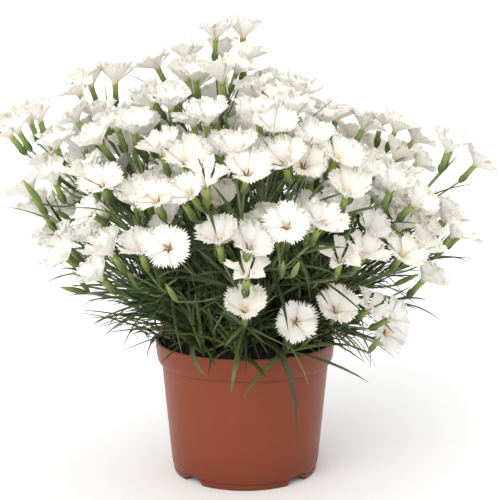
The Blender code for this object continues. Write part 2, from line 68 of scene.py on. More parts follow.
# What the solids were grown with, in metres
layout = {
    "seed": 31,
    "moundEdge": 0.0915,
    "moundTop": 0.1080,
    "moundRadius": 0.0625,
    "moundCurve": 2.4,
    "rimRadius": 0.0650,
    "rimHeight": 0.0974,
    "insideRim": 0.058,
    "clear": 0.0006,
    "bloomRadius": 0.0158,
    "bloomDepth": 0.0045,
    "bloomEdge": 0.0008,
    "bloomRise": 0.0040,
    "bloomSag": 0.0012,
    "bloomReach": 1.03,
    "neckGap": 0.0004,
    "petals": 5,
    "calyxLength": 0.0165,
    "calyxRadius": 0.0026,
    "stemRadius": 0.00125,
    "twigRadius": 0.00090,
    "rootRadius": 0.00055,
    "crownRadius": 0.0026,
    "leafHalfWidth": 0.0026,
    "leafTip": 0.0003,
    "sprays": 10,
    "topSprays": 3,
    "crownLeaves": 4,
    "stemLeaves": (0.42, 0.66),
}

# How the rule spaced the blooms of a head, and the heads
spacing = {
    "rounds": 60,
    "closest": 0.019,
    "crossing": 0.0258,
    "headCurve": 0.0550,
    "headHeart": 0.120,
    "backRing": 15.0,
    "clearRounds": 160,
    "near": 0.048,
    "petalGap": 0.0013,
    "calyxGap": 0.0030,
    "push": 0.0006,
    "mostPush": 0.0012,
}

# How it grew the stems and twigs: where a stem may fork, how far it may wander, and how it is scored
growing = {
    "tries": 200,
    "loosest": 70,
    "looser": 0.0004,
    "forkBelow": 0.044,
    "forkShare": 0.16,
    "shortest": 0.025,
    "straight": 0.62,
    "twigStep": 0.0055,
    "pathStep": 0.0022,
    "gap": 0.0005,
    "leafTries": 16,
}

# The heads that show from the front: the place of each bloom, in millimetres
frontHeads = [
    [(-68, 20, 297), (-42, 22, 296)],
    [(-20, 0, 318), (0, 12, 312)],
    [(-16, -60, 287)],
    [(7, -60, 283), (22, -78, 273), (38, -60, 278)],
    [(-112, 0, 282), (-93, 2, 283), (-116, -16, 267)],
    [(-147, -10, 262), (-129, -30, 251), (-142, -38, 239), (-157, -8, 240)],
    [(-148, -30, 214)],
    [(-122, -60, 205), (-139, -44, 190), (-126, -50, 174)],
    [(-93, -80, 244), (-86, -60, 262), (-67, -82, 255)],
    [(-102, -88, 226), (-86, -106, 214)],
    [(-87, -105, 190), (-66, -120, 198)],
    [(-96, -85, 160)],
    [(-66, -48, 275), (-46, -68, 268)],
    [(-54, -108, 250), (-36, -122, 240)],
    [(-23, -100, 262)],
    [(7, -117, 256), (27, -110, 257), (17, -129, 243)],
    [(-2, -138, 240), (5, -150, 223)],
    [(-19, -148, 219)],
    [(-43, -135, 190)],
    [(-17, -138, 193), (3, -142, 190)],
    [(24, -154, 203), (45, -145, 201)],
    [(0, -139, 169)],
    [(36, -95, 132)],
    [(20, -143, 234), (37, -128, 244), (53, -130, 231)],
    [(58, -136, 214), (69, -118, 231)],
    [(66, 0, 267), (56, -22, 257), (86, -8, 255)],
    [(103, 20, 262), (108, 0, 248), (130, 18, 249)],
    [(149, 0, 245), (168, 0, 231), (136, -22, 232)],
    [(103, -70, 229), (90, -95, 214), (104, -92, 198)],
    [(151, -32, 201), (154, -24, 182), (137, -43, 174)],
    [(62, -130, 189), (80, -120, 195)],
    [(93, -100, 176), (110, -86, 182)],
    [(72, -105, 160), (94, -88, 153), (104, -72, 137)],
    [(124, -55, 154)],
    [(100, -40, 111)],
    [(-54, -124, 209)],
]

# The heads of the top and the back: centre in millimetres and number of blooms
backHeads = [
    ((-36, -22, 291), 2),
    ((26, 6, 284), 3),
    ((-62, 74, 270), 4),
    ((18, 84, 268), 4),
    ((88, 74, 240), 3),
    ((-124, 66, 222), 4),
    ((-62, 139, 218), 4),
    ((22, 151, 218), 4),
    ((96, 118, 196), 4),
    ((-40, 140, 160), 3),
    ((146, 52, 190), 3),
    ((-142, 36, 176), 3),
]

# Blooms that turn a way of their own: head, bloom, direction that it faces
turned = {
    (18, 0): (-0.10, -0.93, 0.34),
    (22, 0): (0.06, -0.97, 0.22),
    (20, 0): (0.02, -0.86, 0.50),
    (21, 0): (0.00, -0.70, 0.72),
    (34, 0): (0.35, -0.80, 0.40),
    (1, 0): (0.05, -0.10, 0.99),
}

# Leaves that hang over the rim: three points each, in millimetres, and the half width
rimLeaves = [
    ((20, -60, 112), (25, -73, 101), (35, -77, 52), 2.5),
    ((-4, -58, 110), (-5, -72, 99), (-9, -76, 78), 1.9),
    ((-30, -54, 110), (-35, -66, 102), (-25, -74, 88), 1.8),
    ((-52, -24, 112), (-76, -36, 122), (-105, -44, 116), 2.2),
    ((56, -18, 112), (76, -28, 108), (88, -34, 84), 2.3),
]


def unit(vector):
    vector = np.asarray(vector, float)
    return vector / np.linalg.norm(vector)


def units(vectors):
    return vectors / np.maximum(np.linalg.norm(vectors, axis=-1, keepdims=True), 1e-12)


# This direction and two that are square to it
def frameOf(direction):
    direction = unit(direction)
    side = unit(np.cross(up if abs(direction[2]) < 0.9 else np.array([1.0, 0.0, 0.0]), direction))
    return direction, side, np.cross(direction, side)


# The direction at a turn round an axis: cos * side + sin * over
def spoke(turn, side, over):
    return math.cos(turn) * side + math.sin(turn) * over


# A step of up to this size in any direction
def nudge(luck, size):
    return np.array([luck.uniform(-1, 1) for _ in range(3)]) * size


# Where a bloom's calyx meets its petals, and where it starts
def neckOf(place):
    return place["centre"] - place["facing"] * (layout["bloomDepth"] + layout["neckGap"])


def kneeOf(place):
    return neckOf(place) - place["facing"] * layout["calyxLength"]


# For each bloom and point, whether the point comes within reach of that bloom's petals
def insideBlooms(points, reach, blooms):
    points = np.asarray(points, float)
    hits = []
    for place in blooms:
        gap = points - place["centre"]
        height = gap @ place["facing"]
        across = np.linalg.norm(gap - height[:, None] * place["facing"], axis=1)
        share = np.clip(across / place["radius"], 0, 1)
        edge, wide = layout["bloomEdge"], place["radius"] * layout["bloomReach"] + reach
        low = -layout["bloomDepth"] * (1 - share) + edge * share - reach - layout["bloomSag"] * share
        high = -edge * (1 - share) + layout["bloomRise"] * share + reach
        hits.append((across < wide) & (height > low) & (height < high))
    return np.array(hits).reshape(len(blooms), len(points))


# Points over a bloom, for keeping heads clear of one another
def petalSamples(place):
    _, side, over = frameOf(place["facing"])
    found = [place["centre"]]
    for share, count in ((0.5, 6), (0.8, 10), (1.03, 20)):
        for i in range(count):
            flat = place["radius"] * share * spoke(2 * math.pi * i / count, side, over)
            found.append(place["centre"] + flat + 0.0022 * share * place["facing"])
    return np.array(found)


# Points down a bloom's calyx and the start of its stem
def calyxSamples(place):
    steps = (7, 10, 13, 16, 19, 22, 26, 30, 34)
    return np.array([place["centre"] - place["facing"] * (step / 1000) for step in steps])


# Flattens one head, spaces its blooms so that petals cross, and turns each one outwards
def settleHead(places, head, luck):
    places = np.array(places, float) * mm
    middle = places.mean(axis=0)
    outward = unit(middle - spacing["headHeart"] * up)
    wander = np.array([luck.uniform(-0.1, 0.1), luck.uniform(-0.1, 0.1), 0])
    facing = unit(0.75 * outward + 0.55 * up + wander)
    flat = places - middle
    flat -= np.outer(flat @ facing, facing)
    for _ in range(spacing["rounds"]):
        for i in range(len(flat)):
            for j in range(i):
                gap = flat[i] - flat[j]
                size = np.linalg.norm(gap)
                if size < spacing["closest"]:
                    push = gap / size * (spacing["closest"] - size) / 2
                    flat[i] += push
                    flat[j] -= push
            if i:
                sizes = np.linalg.norm(flat[:i] - flat[i], axis=1)
                near = int(sizes.argmin())
                if sizes[near] > spacing["crossing"]:
                    flat[i] += (flat[near] - flat[i]) * (1 - spacing["crossing"] / sizes[near])
    made = []
    for i in range(len(flat)):
        own = turned.get((head, i))
        face = unit(own) if own else unit(facing + flat[i] / spacing["headCurve"])
        _, side, over = frameOf(face)
        spin = luck.uniform(0, 1.25)
        if i:
            sizes = np.linalg.norm(flat[:i] - flat[i], axis=1)
            towards = flat[int(sizes.argmin())] - flat[i]
            spin = math.atan2(towards @ over, towards @ side) + luck.uniform(-0.12, 0.12)
        made.append({
            "centre": middle + flat[i] - facing * (flat[i] @ flat[i]) / (2 * spacing["headCurve"]),
            "facing": face,
            "spin": spin,
            "radius": layout["bloomRadius"] * luck.uniform(0.97, 1.03),
            "lifts": [luck.uniform(-0.0004, 0.0006) for _ in range(layout["petals"])],
            "head": head,
        })
    return made


# Every bloom of the plant, head by head, moved apart until no two heads touch
def placeBlooms(luck):
    heads = [settleHead(row, number, luck) for number, row in enumerate(frontHeads)]
    for centre, count in backHeads:
        middle = np.array(centre, float)
        _, side, over = frameOf(middle - np.array([0, 0, spacing["headHeart"] / mm]))
        start = luck.uniform(0, 2 * math.pi)
        turns = [start + i * 2 * math.pi / count for i in range(count)]
        row = [middle + spacing["backRing"] * spoke(turn, side, over) for turn in turns]
        heads.append(settleHead(row, len(heads), luck))
    for _ in range(spacing["clearRounds"]):
        moved = False
        flat = [place for head in heads for place in head]
        centres = np.array([place["centre"] for place in flat])
        shifts = [np.zeros(3) for _ in heads]
        for i, place in enumerate(flat):
            close = np.nonzero(np.linalg.norm(centres - centres[i], axis=1) < spacing["near"])[0]
            others = [flat[j] for j in close if flat[j]["head"] != place["head"]]
            if not others:
                continue
            petals = insideBlooms(petalSamples(place), spacing["petalGap"], others).any(axis=1)
            calyx = insideBlooms(calyxSamples(place), spacing["calyxGap"], others).any(axis=1)
            for other, met in zip(others, petals | calyx):
                if not met:
                    continue
                moved = True
                gap = place["centre"] - other["centre"]
                normal = unit(place["facing"] + other["facing"])
                away = unit(gap) + normal * (1.2 if gap @ normal > 0 else -1.2)
                shifts[place["head"]] += unit(away) * spacing["push"]
                shifts[other["head"]] -= unit(away) * spacing["push"]
        for head, shift in zip(heads, shifts):
            size = np.linalg.norm(shift)
            if size > spacing["mostPush"]:
                shift = shift * spacing["mostPush"] / size
            for place in head:
                place["centre"] = place["centre"] + shift
        if not moved:
            break
    return heads


# Height of the root ball's top at a distance from the pot's axis
def moundHeight(radius):
    share = np.minimum(radius / layout["moundRadius"], 1.0)
    drop = layout["moundTop"] - layout["moundEdge"]
    return layout["moundTop"] - drop * share ** layout["moundCurve"]


# True where every point is clear of the pot and the root ball
def offPot(points, reach):
    for point, gap in zip(points, reach):
        radius = math.hypot(point[0], point[1])
        if radius < layout["rimRadius"] + layout["clear"] + gap:
            rim = layout["rimHeight"] if radius > layout["insideRim"] else 0
            if point[2] < max(moundHeight(radius), rim) + layout["clear"] + gap:
                return False
    return True


# Points and radii read every couple of millimetres along a path
def alongPath(path, radii):
    found, sizes = [], []
    for a, b, r, s in zip(path, path[1:], radii, radii[1:]):
        count = max(2, int(np.linalg.norm(b - a) / growing["pathStep"]) + 1)
        for i in range(count):
            share = i / count
            found.append(a + (b - a) * share)
            sizes.append(r + (s - r) * share)
    found.append(path[-1])
    sizes.append(radii[-1])
    return np.array(found), np.array(sizes)


# What already stands in the plant, so that the next stem or leaf can be bent clear of it
class Room:
    def __init__(self, blooms):
        self.blooms = blooms
        self.points = np.zeros((0, 3))
        self.sizes = np.zeros(0)
        self.owners = np.zeros(0, int)

    def add(self, points, sizes, owner):
        self.points = np.vstack([self.points, points])
        self.sizes = np.concatenate([self.sizes, sizes])
        self.owners = np.concatenate([self.owners, np.full(len(points), owner)])

    def clashes(self, points, sizes, owner, root, free=0.005):
        far = np.linalg.norm(points - root, axis=1) > free
        reach = growing["gap"] + float(sizes.max()) * 0.8
        count = int(insideBlooms(points, reach, self.blooms).sum())
        for own in (False, True):
            mine = points[far] if own else points
            size = sizes[far] if own else sizes
            others = (self.owners == owner) == own
            if not others.any() or not len(mine):
                continue
            gaps = np.linalg.norm(mine[:, None] - self.points[None, others], axis=2)
            gaps = gaps - size[:, None] - self.sizes[None, others] - growing["gap"]
            if own:
                near = np.linalg.norm(self.points[others] - root, axis=1) < free
                gaps = gaps[:, ~near]
            count += int((gaps < 0).any(axis=1).sum())
        return count


# The spray that carries a head: three in the middle for the top, seven round the edge
def sprayOf(middle):
    angle = math.degrees(math.atan2(middle[1], middle[0])) % 360
    lean = math.degrees(math.atan2(math.hypot(middle[0], middle[1]), middle[2] - 0.085))
    if lean < 27:
        return int(((angle + 30) % 360) // 120)
    return layout["topSprays"] + int(((angle + 12) % 360) // (360 / 7))


# Foot of a spray in the root ball and the way it starts
def sprayRoot(spray):
    if spray < layout["topSprays"]:
        turn = math.radians(spray * 120 + 30)
        out, lean = 0.013, 0.06
    else:
        turn = math.radians((spray - layout["topSprays"] + 0.5) * 360 / 7 - 12)
        out, lean = 0.040, 0.42
    radial = np.array([math.cos(turn), math.sin(turn), 0.0])
    return radial * out + moundHeight(out) * up, unit(radial * lean + up)


# Where a head's stem leaves its spray: part way up a stem that is there, or the crown
def stemStart(stems, crown, fork):
    _, high, start = crown
    best = (np.linalg.norm(fork - high) * 0.9, high - start * 0.002, start)
    for stem in stems:
        for a, b, lowest, highest in ((stem[0], stem[1], 0.35, 1.0), (stem[1], stem[2], 0.0, 0.45)):
            ahead = unit(b - a)
            for step in range(5):
                spot = a + (b - a) * (lowest + (highest - lowest) * (step + 0.5) / 5)
                gap = fork - spot
                size = np.linalg.norm(gap)
                if growing["shortest"] <= size < best[0] and gap @ ahead >= growing["straight"] * size:
                    best = (size, spot, ahead)
    return best[1], best[2]


# The stem of a head, which ends in its first bloom, and a twig for each other bloom
def headPaths(head, fork, base, start, luck, loose):
    bend = base + (fork - base) * 0.5 + start * 0.006 + nudge(luck, loose)
    rise = unit(fork - bend)
    length = layout["calyxLength"]
    fits = [unit(place["centre"] - place["facing"] * length - fork) @ rise for place in head]
    lined = sorted(range(len(head)), key=lambda i: -fits[i])
    paths = []
    for number, place in enumerate(head[i] for i in lined):
        neck = neckOf(place)
        ends = [kneeOf(place), neck - place["facing"] * length * 0.5, neck]
        sizes = [layout["twigRadius"], layout["calyxRadius"] * 0.95, layout["calyxRadius"]]
        thin = layout["stemRadius"]
        if number == 0:
            paths.append(([base, bend, fork] + ends, [layout["rootRadius"], thin, thin] + sizes))
        else:
            spot = fork - rise * (growing["twigStep"] * number - 0.001)
            paths.append(([spot] + ends, [layout["rootRadius"]] + sizes))
    return paths


# The clearest of many tries at one head's stem and twigs
def growHead(head, spray, stems, crown, room, luck):
    middle = np.mean([place["centre"] for place in head], axis=0)
    facing = unit(sum(place["facing"] for place in head))
    inward = unit(facing + 0.9 * unit(middle - heart))
    below = min(growing["forkBelow"], 0.4 * np.linalg.norm(middle - crown[1]))
    share, best = growing["forkShare"], None
    for attempt in range(growing["tries"]):
        loose = min(attempt, growing["loosest"]) * growing["looser"]
        fork = (middle - inward * below) * (1 - share) + crown[1] * share + nudge(luck, loose)
        base, start = stemStart(stems, crown, fork)
        paths = headPaths(head, fork, base, start, luck, loose * 0.6)
        count = 0
        for path, radii in paths:
            points, sizes = alongPath(path, radii)
            keep = np.linalg.norm(points - path[-1], axis=1) > 0.0035
            count += room.clashes(points[keep], sizes[keep], spray, path[0])
            if not offPot(points[3:], sizes[3:]):
                count += 5
            runs = [unit(b - a) for a, b in zip(path, path[1:])]
            if min(a @ b for a, b in zip(runs, runs[1:])) < 0.35:
                count += 10
        if best is None or count < best[0]:
            best = (count, paths)
        if not count:
            break
    return best[1]


# A leaf that leaves its stem at an angle and arches over, or nothing where there is no room
def tryLeaf(spray, root, along, room, luck, length, spread, fall):
    _, side, over = frameOf(along)
    for _ in range(growing["leafTries"]):
        out = spoke(luck.uniform(0, 2 * math.pi), side, over)
        size = length * luck.uniform(0.8, 1.2)
        lean = spread * luck.uniform(0.75, 1.2)
        first = unit(along * math.cos(lean) + out * math.sin(lean))
        second = unit(first + out * 0.45 + down * fall)
        middle = root + first * size * 0.48
        tip = middle + second * size * 0.52
        half = layout["leafHalfWidth"] * luck.uniform(0.75, 1.1)
        points, sizes = alongPath([root, middle, tip], [layout["rootRadius"], half, layout["leafTip"]])
        if not offPot(points[3:], sizes[3:]) or room.clashes(points, sizes, spray, root):
            continue
        room.add(points, sizes, spray)
        return (root, middle, tip, half, out + along * 0.2, spray)
    return None


# Stems, blooms and leaves of every spray, as the solids have them
def grow(heads, luck):
    room = Room([place for head in heads for place in head])
    stems = [[] for _ in range(layout["sprays"])]
    crowns, paths, leaves, headSpray = [], [], [], {}
    for spray in range(layout["sprays"]):
        foot, start = sprayRoot(spray)
        low, high = foot - start * 0.012, foot + start * 0.008
        crowns.append((low, high, start))
        room.add(*alongPath([low, high], [layout["crownRadius"]] * 2), spray)
    middles = [np.mean([place["centre"] for place in head], axis=0) for head in heads]
    for number in sorted(range(len(heads)), key=lambda h: -np.linalg.norm(middles[h])):
        spray = sprayOf(middles[number])
        headSpray[number] = spray
        found = growHead(heads[number], spray, stems[spray], crowns[spray], room, luck)
        for path, radii in found:
            luck.uniform(0, 2)  # the solids' rule draws here too
            paths.append((np.array(path), np.array(radii), spray))
            room.add(*alongPath(path, radii), spray)
        stems[spray].append(found[0][0][:3])
    for row in rimLeaves:
        nearest, middle, tip = (np.array(row[i]) * mm for i in range(3))
        spray = int(np.argmin([np.linalg.norm(crown[1] - nearest) for crown in crowns]))
        root = crowns[spray][1] - crowns[spray][2] * 0.0025
        half = row[3] * mm
        leaves.append((root, middle, tip, half, up + unit(middle) * 0.2, spray))
        thin = [layout["rootRadius"], half, layout["leafTip"]]
        room.add(*alongPath([root, middle, tip], thin), spray)
    for spray in range(layout["sprays"]):
        _, high, start = crowns[spray]
        for _ in range(layout["crownLeaves"]):
            leaves.append(tryLeaf(spray, high - start * 0.003, start, room, luck, 0.062, 1.0, 0.25))
        for base, bend, fork in stems[spray]:
            for share in layout["stemLeaves"]:
                a, b, part = (base, bend, share * 2) if share < 0.5 else (bend, fork, share * 2 - 1)
                root = a + (b - a) * part
                leaves.append(tryLeaf(spray, root, unit(b - a), room, luck, 0.046, 0.72, 0.15))
    leaves = [leaf for leaf in leaves if leaf]
    return crowns, stems, paths, leaves, headSpray, room


# An object in the scene that holds this data
def addObject(name, data):
    made = bpy.data.objects.new(name, data)
    bpy.context.scene.collection.objects.link(made)
    return made


# Faces of many copies of a shape
def repeatFaces(faces, copies, pointsEach):
    step = np.arange(copies)[:, None, None] * pointsEach
    return (faces[None] + step).reshape(-1, faces.shape[1])


# Turns of the points round a ring
def ringTurns(sides):
    return np.arange(sides) * 2 * np.pi / sides


# Copies of a tube as one surface: quads between its rings, and a fan of triangles to a pole at each end.
# The skin holds copies, rings, sides and x, y, z; u and v are given for each ring and side.
def tubeSurface(skin, u, v, tint, poles=None):
    copies, rings, sides = skin.shape[:3]
    if poles is None:
        poles = [skin[:, k].mean(axis=1)[:, None] for k in (0, -1)]
    each, ring, last = rings * sides + 2, np.arange(sides), (rings - 1) * sides
    ahead = (ring + 1) % sides
    row = np.arange(rings - 1)[:, None] * sides
    quads = np.stack([row + ring, row + ahead, row + sides + ahead, row + sides + ring], axis=-1)
    low = np.stack([np.full(sides, each - 2), ahead, ring], axis=1)
    high = np.stack([np.full(sides, each - 1), last + ring, last + ahead], axis=1)
    uv = np.concatenate([np.stack([u, v], axis=-1).reshape(-1, 2), [[u[0, 0], 0], [u[0, 0], 1]]])
    return {
        "points": np.concatenate([skin.reshape(copies, -1, 3)] + poles, axis=1),
        "faces": [
            repeatFaces(quads.reshape(-1, 4), copies, each),
            repeatFaces(np.concatenate([low, high]), copies, each),
        ],
        "uv": np.broadcast_to(uv, (copies, each, 2)),
        "tint": np.asarray(tint, float).reshape(-1, 1),
    }


# Volume under the triangles of a closed surface, taken from the origin
def signedVolume(points, surface):
    total = 0.0
    for faces in surface["faces"]:
        for k in range(1, faces.shape[1] - 1):
            a, b, c = points[faces[:, 0]], points[faces[:, k]], points[faces[:, k + 1]]
            total += np.einsum("ij,ij->i", a, np.cross(b, c)).sum()
    return total


# One mesh object from surfaces, which each have points, faces, a UV and a tint per point.
# The signed volume says whether the faces point outwards, and turns them round where they don't.
def makePiece(name, surfaces, material, nodes=(), sharp=60):
    spots = [surface["points"].reshape(-1, 3) for surface in surfaces]
    corners, sizes, start = [], [], 0
    for surface, points in zip(surfaces, spots):
        order = -1 if signedVolume(points, surface) < 0 else 1
        for faces in surface["faces"]:
            corners.append((faces[:, ::order] + start).reshape(-1))
            sizes.append(np.full(len(faces), faces.shape[1]))
        start += len(points)
    corners, sizes = np.concatenate(corners).astype(np.int32), np.concatenate(sizes)
    uv = np.concatenate([surface["uv"].reshape(-1, 2) for surface in surfaces])
    mesh = bpy.data.meshes.new(name)
    mesh.vertices.add(start)
    mesh.loops.add(len(corners))
    mesh.polygons.add(len(sizes))
    mesh.vertices.foreach_set("co", np.concatenate(spots).astype(np.float32).reshape(-1))
    mesh.loops.foreach_set("vertex_index", corners)
    starts = np.concatenate([[0], np.cumsum(sizes)[:-1]])
    mesh.polygons.foreach_set("loop_start", starts.astype(np.int32))
    mesh.uv_layers.new(name="UVMap").data.foreach_set("uv", uv[corners].astype(np.float32).reshape(-1))
    for label in ("tint", "upperSide"):
        rows = [np.broadcast_to(s.get(label, np.ones(1)), s["points"].shape[:-1]).reshape(-1) for s in surfaces]
        field = mesh.attributes.new(label, "FLOAT", "POINT")
        field.data.foreach_set("value", np.concatenate(rows).astype(np.float32))
    mesh.update(calc_edges=True)
    mesh.validate()
    mesh.shade_smooth()
    mesh.set_sharp_from_angle(angle=math.radians(sharp))
    mesh.materials.append(material)
    piece = addObject(name, mesh)
    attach(piece, "root")
    if nodes:
        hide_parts(*nodes)
    print(name, len(mesh.polygons), "faces")
    return piece


# Paths with the same number of rings each: points read evenly along the lines, with corners rounded off
def smoothPaths(lines, rings, rounds):
    shares = np.linspace(0, 1, rings)
    made = []
    for line in lines:
        line = np.asarray(line, float)
        along = np.concatenate([[0], np.cumsum(np.linalg.norm(np.diff(line, axis=0), axis=1))])
        made.append(np.stack([np.interp(shares * along[-1], along, line[:, k]) for k in range(3)], axis=1))
    made = np.array(made)
    for _ in range(rounds):
        made[:, 1:-1] = 0.25 * made[:, :-2] + 0.5 * made[:, 1:-1] + 0.25 * made[:, 2:]
    return made


# Unit directions along and across each path. The side direction is carried from ring to ring.
def carryFrames(paths, hint):
    ahead = units(np.gradient(paths, axis=1))
    side = np.zeros_like(paths)
    last = units(np.cross(ahead[:, 0], hint))
    for k in range(paths.shape[1]):
        last = units(last - ahead[:, k] * np.sum(last * ahead[:, k], axis=1, keepdims=True))
        side[:, k] = last
    return ahead, side, np.cross(side, ahead)


# A closed section carried along each path: point = path + across * side + above * normal
def sweep(paths, hint, across, above, sectionU, tint):
    _, side, normal = carryFrames(paths, hint)
    skin = paths[:, :, None] + across[..., None] * side[:, :, None] + above[..., None] * normal[:, :, None]
    u, v = np.meshgrid(sectionU, np.linspace(0, 1, across.shape[1]))
    return tubeSurface(skin, u, v, tint)


# Round tubes along paths: the section is a circle of the radius at each ring
def tubes(paths, radii, sides, tint):
    turn = ringTurns(sides)
    level = np.abs(units(paths[:, 1] - paths[:, 0])[:, 2:]) < 0.9
    hint = np.where(level, up, np.array([1.0, 0, 0]))
    radii = radii[:, :, None]
    return sweep(paths, hint, radii * np.cos(turn), radii * np.sin(turn), np.arange(sides) / sides, tint)


# One value of every bloom, as an array, or the two directions square to the way that each one faces
def column(blooms, key):
    return np.array([place[key] for place in blooms])


def sidesOf(facing):
    frames = [frameOf(face) for face in facing]
    return (np.array([frame[k] for frame in frames])[:, None, None] for k in (1, 2))


# Petals. The outline is laid out once as points in u (across, -1 to 1) and v (throat to rim), with more
# points across each row than the last, and a tooth at every second point of the rim. Pairs are ranges
# that each petal draws its own value from.
petal = {
    "rows": ((0.0, 2), (0.12, 2), (0.34, 4), (0.70, 8), (1.0, 22)),
    "clawRadius": 0.0007,
    "toothDepth": 0.24,
    "shoulder": 0.11,
    "rimHalfAngle": 40.5,
    "thickness": 0.00026,
    "mouth": -0.0088,
    "funnel": 0.0036,
    "rise": (0.0034, 0.0128),
    "unevenRise": (-0.0009, 0.0010),
    "recurve": 0.0010,
    "unevenRecurve": (-0.0010, 0.0020),
    "tilt": (0.0006, 0.0014),
    "wave": (0.0003, 0.0013),
    "crumple": (0.0, 0.0008),
    "ripples": (3.0, 6.5),
    "fold": (-0.0005, 0.0006),
    "starFold": 0.0040,
    "starSlimming": 0.42,
    "toothShare": (0.30, 1.20),
    "uneven": (0.94, 1.05),
    "cupNarrowing": 0.13,
    "spread": 1.08,
}


# Triangles of a strip between two rows that may hold different numbers of points
def stripFaces(low, lowSpaces, high, highSpaces):
    faces, i, j = [], 0, 0
    while i < lowSpaces or j < highSpaces:
        if j == highSpaces or (i < lowSpaces and (i + 1) / lowSpaces < (j + 1) / highSpaces):
            faces.append((low + i, low + i + 1, high + j))
            i += 1
        else:
            faces.append((low + i, high + j + 1, high + j))
            j += 1
    return faces


def petalTemplate():
    grid, triangles, start = [], [], 0
    for v, spaces in petal["rows"]:
        grid += [(u, v) for u in np.linspace(-1, 1, spaces + 1)]
    for (_, low), (_, high) in zip(petal["rows"], petal["rows"][1:]):
        triangles += stripFaces(start, low, start + low + 1, high)
        start += low + 1
    return np.array(grid), np.array(triangles)


# Height of a petal over its bloom's centre: a steep claw in the calyx mouth, then a limb that rises to
# the rim and bends back, with its own tilt, waves along the rim and a fold down its middle.
def petalHeight(u, v, shape):
    claw = petal["mouth"] + petal["funnel"] * (1 - np.exp(-v / 0.08))
    limb = shape["rise"] * v**1.1 - shape["recurve"] * v**3
    tilt = shape["tilt"] * u * v
    wave = shape["wave"] * v**2.2 * np.sin(shape["phase"] + u * shape["ripples"])
    wave = wave + shape["crumple"] * v**1.5 * np.sin(shape["phase"] * 2 + u * 5.2 + v * 4.0)
    fold = shape["fold"] * np.abs(u) * v * (1.2 - 0.5 * v)
    return claw + limb + tilt + wave + fold


# All petals of these blooms as closed lens-thin blades: point = centre + out * (cos * side + sin * over) +
# (height +- thickness) * facing. Out runs from the claw to the rim, less the shoulders and the teeth.
def petalSurface(blooms, luck):
    grid, triangles = petalTemplate()
    number, sides = len(blooms), layout["petals"]
    u, v = grid[:, 0], grid[:, 1]
    size, full = (number, sides, 1), (number, sides, len(u))
    face = column(blooms, "facing")
    side, over = sidesOf(face)
    radius, cup, star, spin = (column(blooms, k)[:, None, None] for k in ("radius", "cup", "star", "spin"))
    lowest, highest = petal["rise"]
    rise = lowest + (highest - lowest) * cup + column(blooms, "lifts")[:, :, None]
    shape = {
        "rise": rise + luck.uniform(*petal["unevenRise"], size),
        "recurve": petal["recurve"] * (1 - cup) + luck.uniform(*petal["unevenRecurve"], size),
        "tilt": luck.uniform(*petal["tilt"], size),
        "wave": luck.uniform(*petal["wave"], size),
        "crumple": luck.uniform(*petal["crumple"], size),
        "phase": luck.uniform(0, 6.3, size),
        "ripples": luck.uniform(*petal["ripples"], size),
        "fold": luck.uniform(*petal["fold"], size) + petal["starFold"] * star,
    }
    rim = v == 1
    place = np.round((u + 1) * petal["rows"][-1][1] / 2)
    notch = np.where(rim & (place % 2 == 0), petal["toothDepth"], 0.0)
    ragged = luck.uniform(*petal["toothShare"], full) * notch + luck.uniform(0.0, 0.10, full) * rim
    shoulder = petal["shoulder"] * luck.uniform(0.7, 1.5, size)
    reach = petal["spread"] - shoulder * np.abs(u) ** 2.4 * v
    reach = reach - petal["starSlimming"] * star * np.abs(u) ** 1.2 * v - ragged * (1 - 0.5 * star)
    wide = radius * (1 - petal["cupNarrowing"] * cup) * luck.uniform(*petal["uneven"], size)
    out = petal["clawRadius"] + v * (wide * reach - petal["clawRadius"])
    throat = 1.0 - 0.25 * star
    widest = np.radians(petal["rimHalfAngle"]) * luck.uniform(*petal["uneven"], size) * (1 - 0.28 * star)
    half = widest * (throat + (1 - throat) * np.clip(v / 0.6, 0, 1))
    turn = spin + ringTurns(sides)[None, :, None] + luck.uniform(-0.05, 0.05, size) + u * half
    turn = turn + rim * luck.uniform(-0.020, 0.020, full)
    height = petalHeight(u, v, shape) + rim * luck.uniform(-0.0006, 0.0006, full)
    thick = petal["thickness"] * np.clip(1 - np.abs(u) ** 3, 0, 1) * np.clip((1 - v) * 5, 0, 1)
    flat = np.cos(turn)[..., None] * side + np.sin(turn)[..., None] * over
    mid = column(blooms, "centre")[:, None, None] + out[..., None] * flat
    top = mid + (height + thick)[..., None] * face[:, None, None]
    bottom = mid + (height - thick)[..., None] * face[:, None, None]
    border = (np.abs(u) == 1) | (v == 1) | (v == 0)
    inner = np.nonzero(~border)[0]
    lower = np.arange(len(u))
    lower[inner] = len(u) + np.arange(len(inner))
    copies, each = number * sides, len(u) + len(inner)
    shell = np.concatenate([triangles, lower[triangles][:, ::-1]])
    upper = np.concatenate([np.where(border, 0.5, 1.0), np.zeros(len(inner))])
    uv = np.concatenate([grid, grid[inner]]) * np.array([0.5, 1.0]) + np.array([0.5, 0.0])
    age = column(blooms, "tint")[:, None] + luck.uniform(-0.06, 0.06, (number, sides))
    return {
        "points": np.concatenate([top, bottom[:, :, inner]], axis=2).reshape(copies, -1, 3),
        "faces": [repeatFaces(shell, copies, each)],
        "uv": np.broadcast_to(uv, (copies, each, 2)),
        "tint": np.clip(age.reshape(-1, 1), 0, 1),
        "upperSide": np.broadcast_to(upper, (copies, each)),
    }


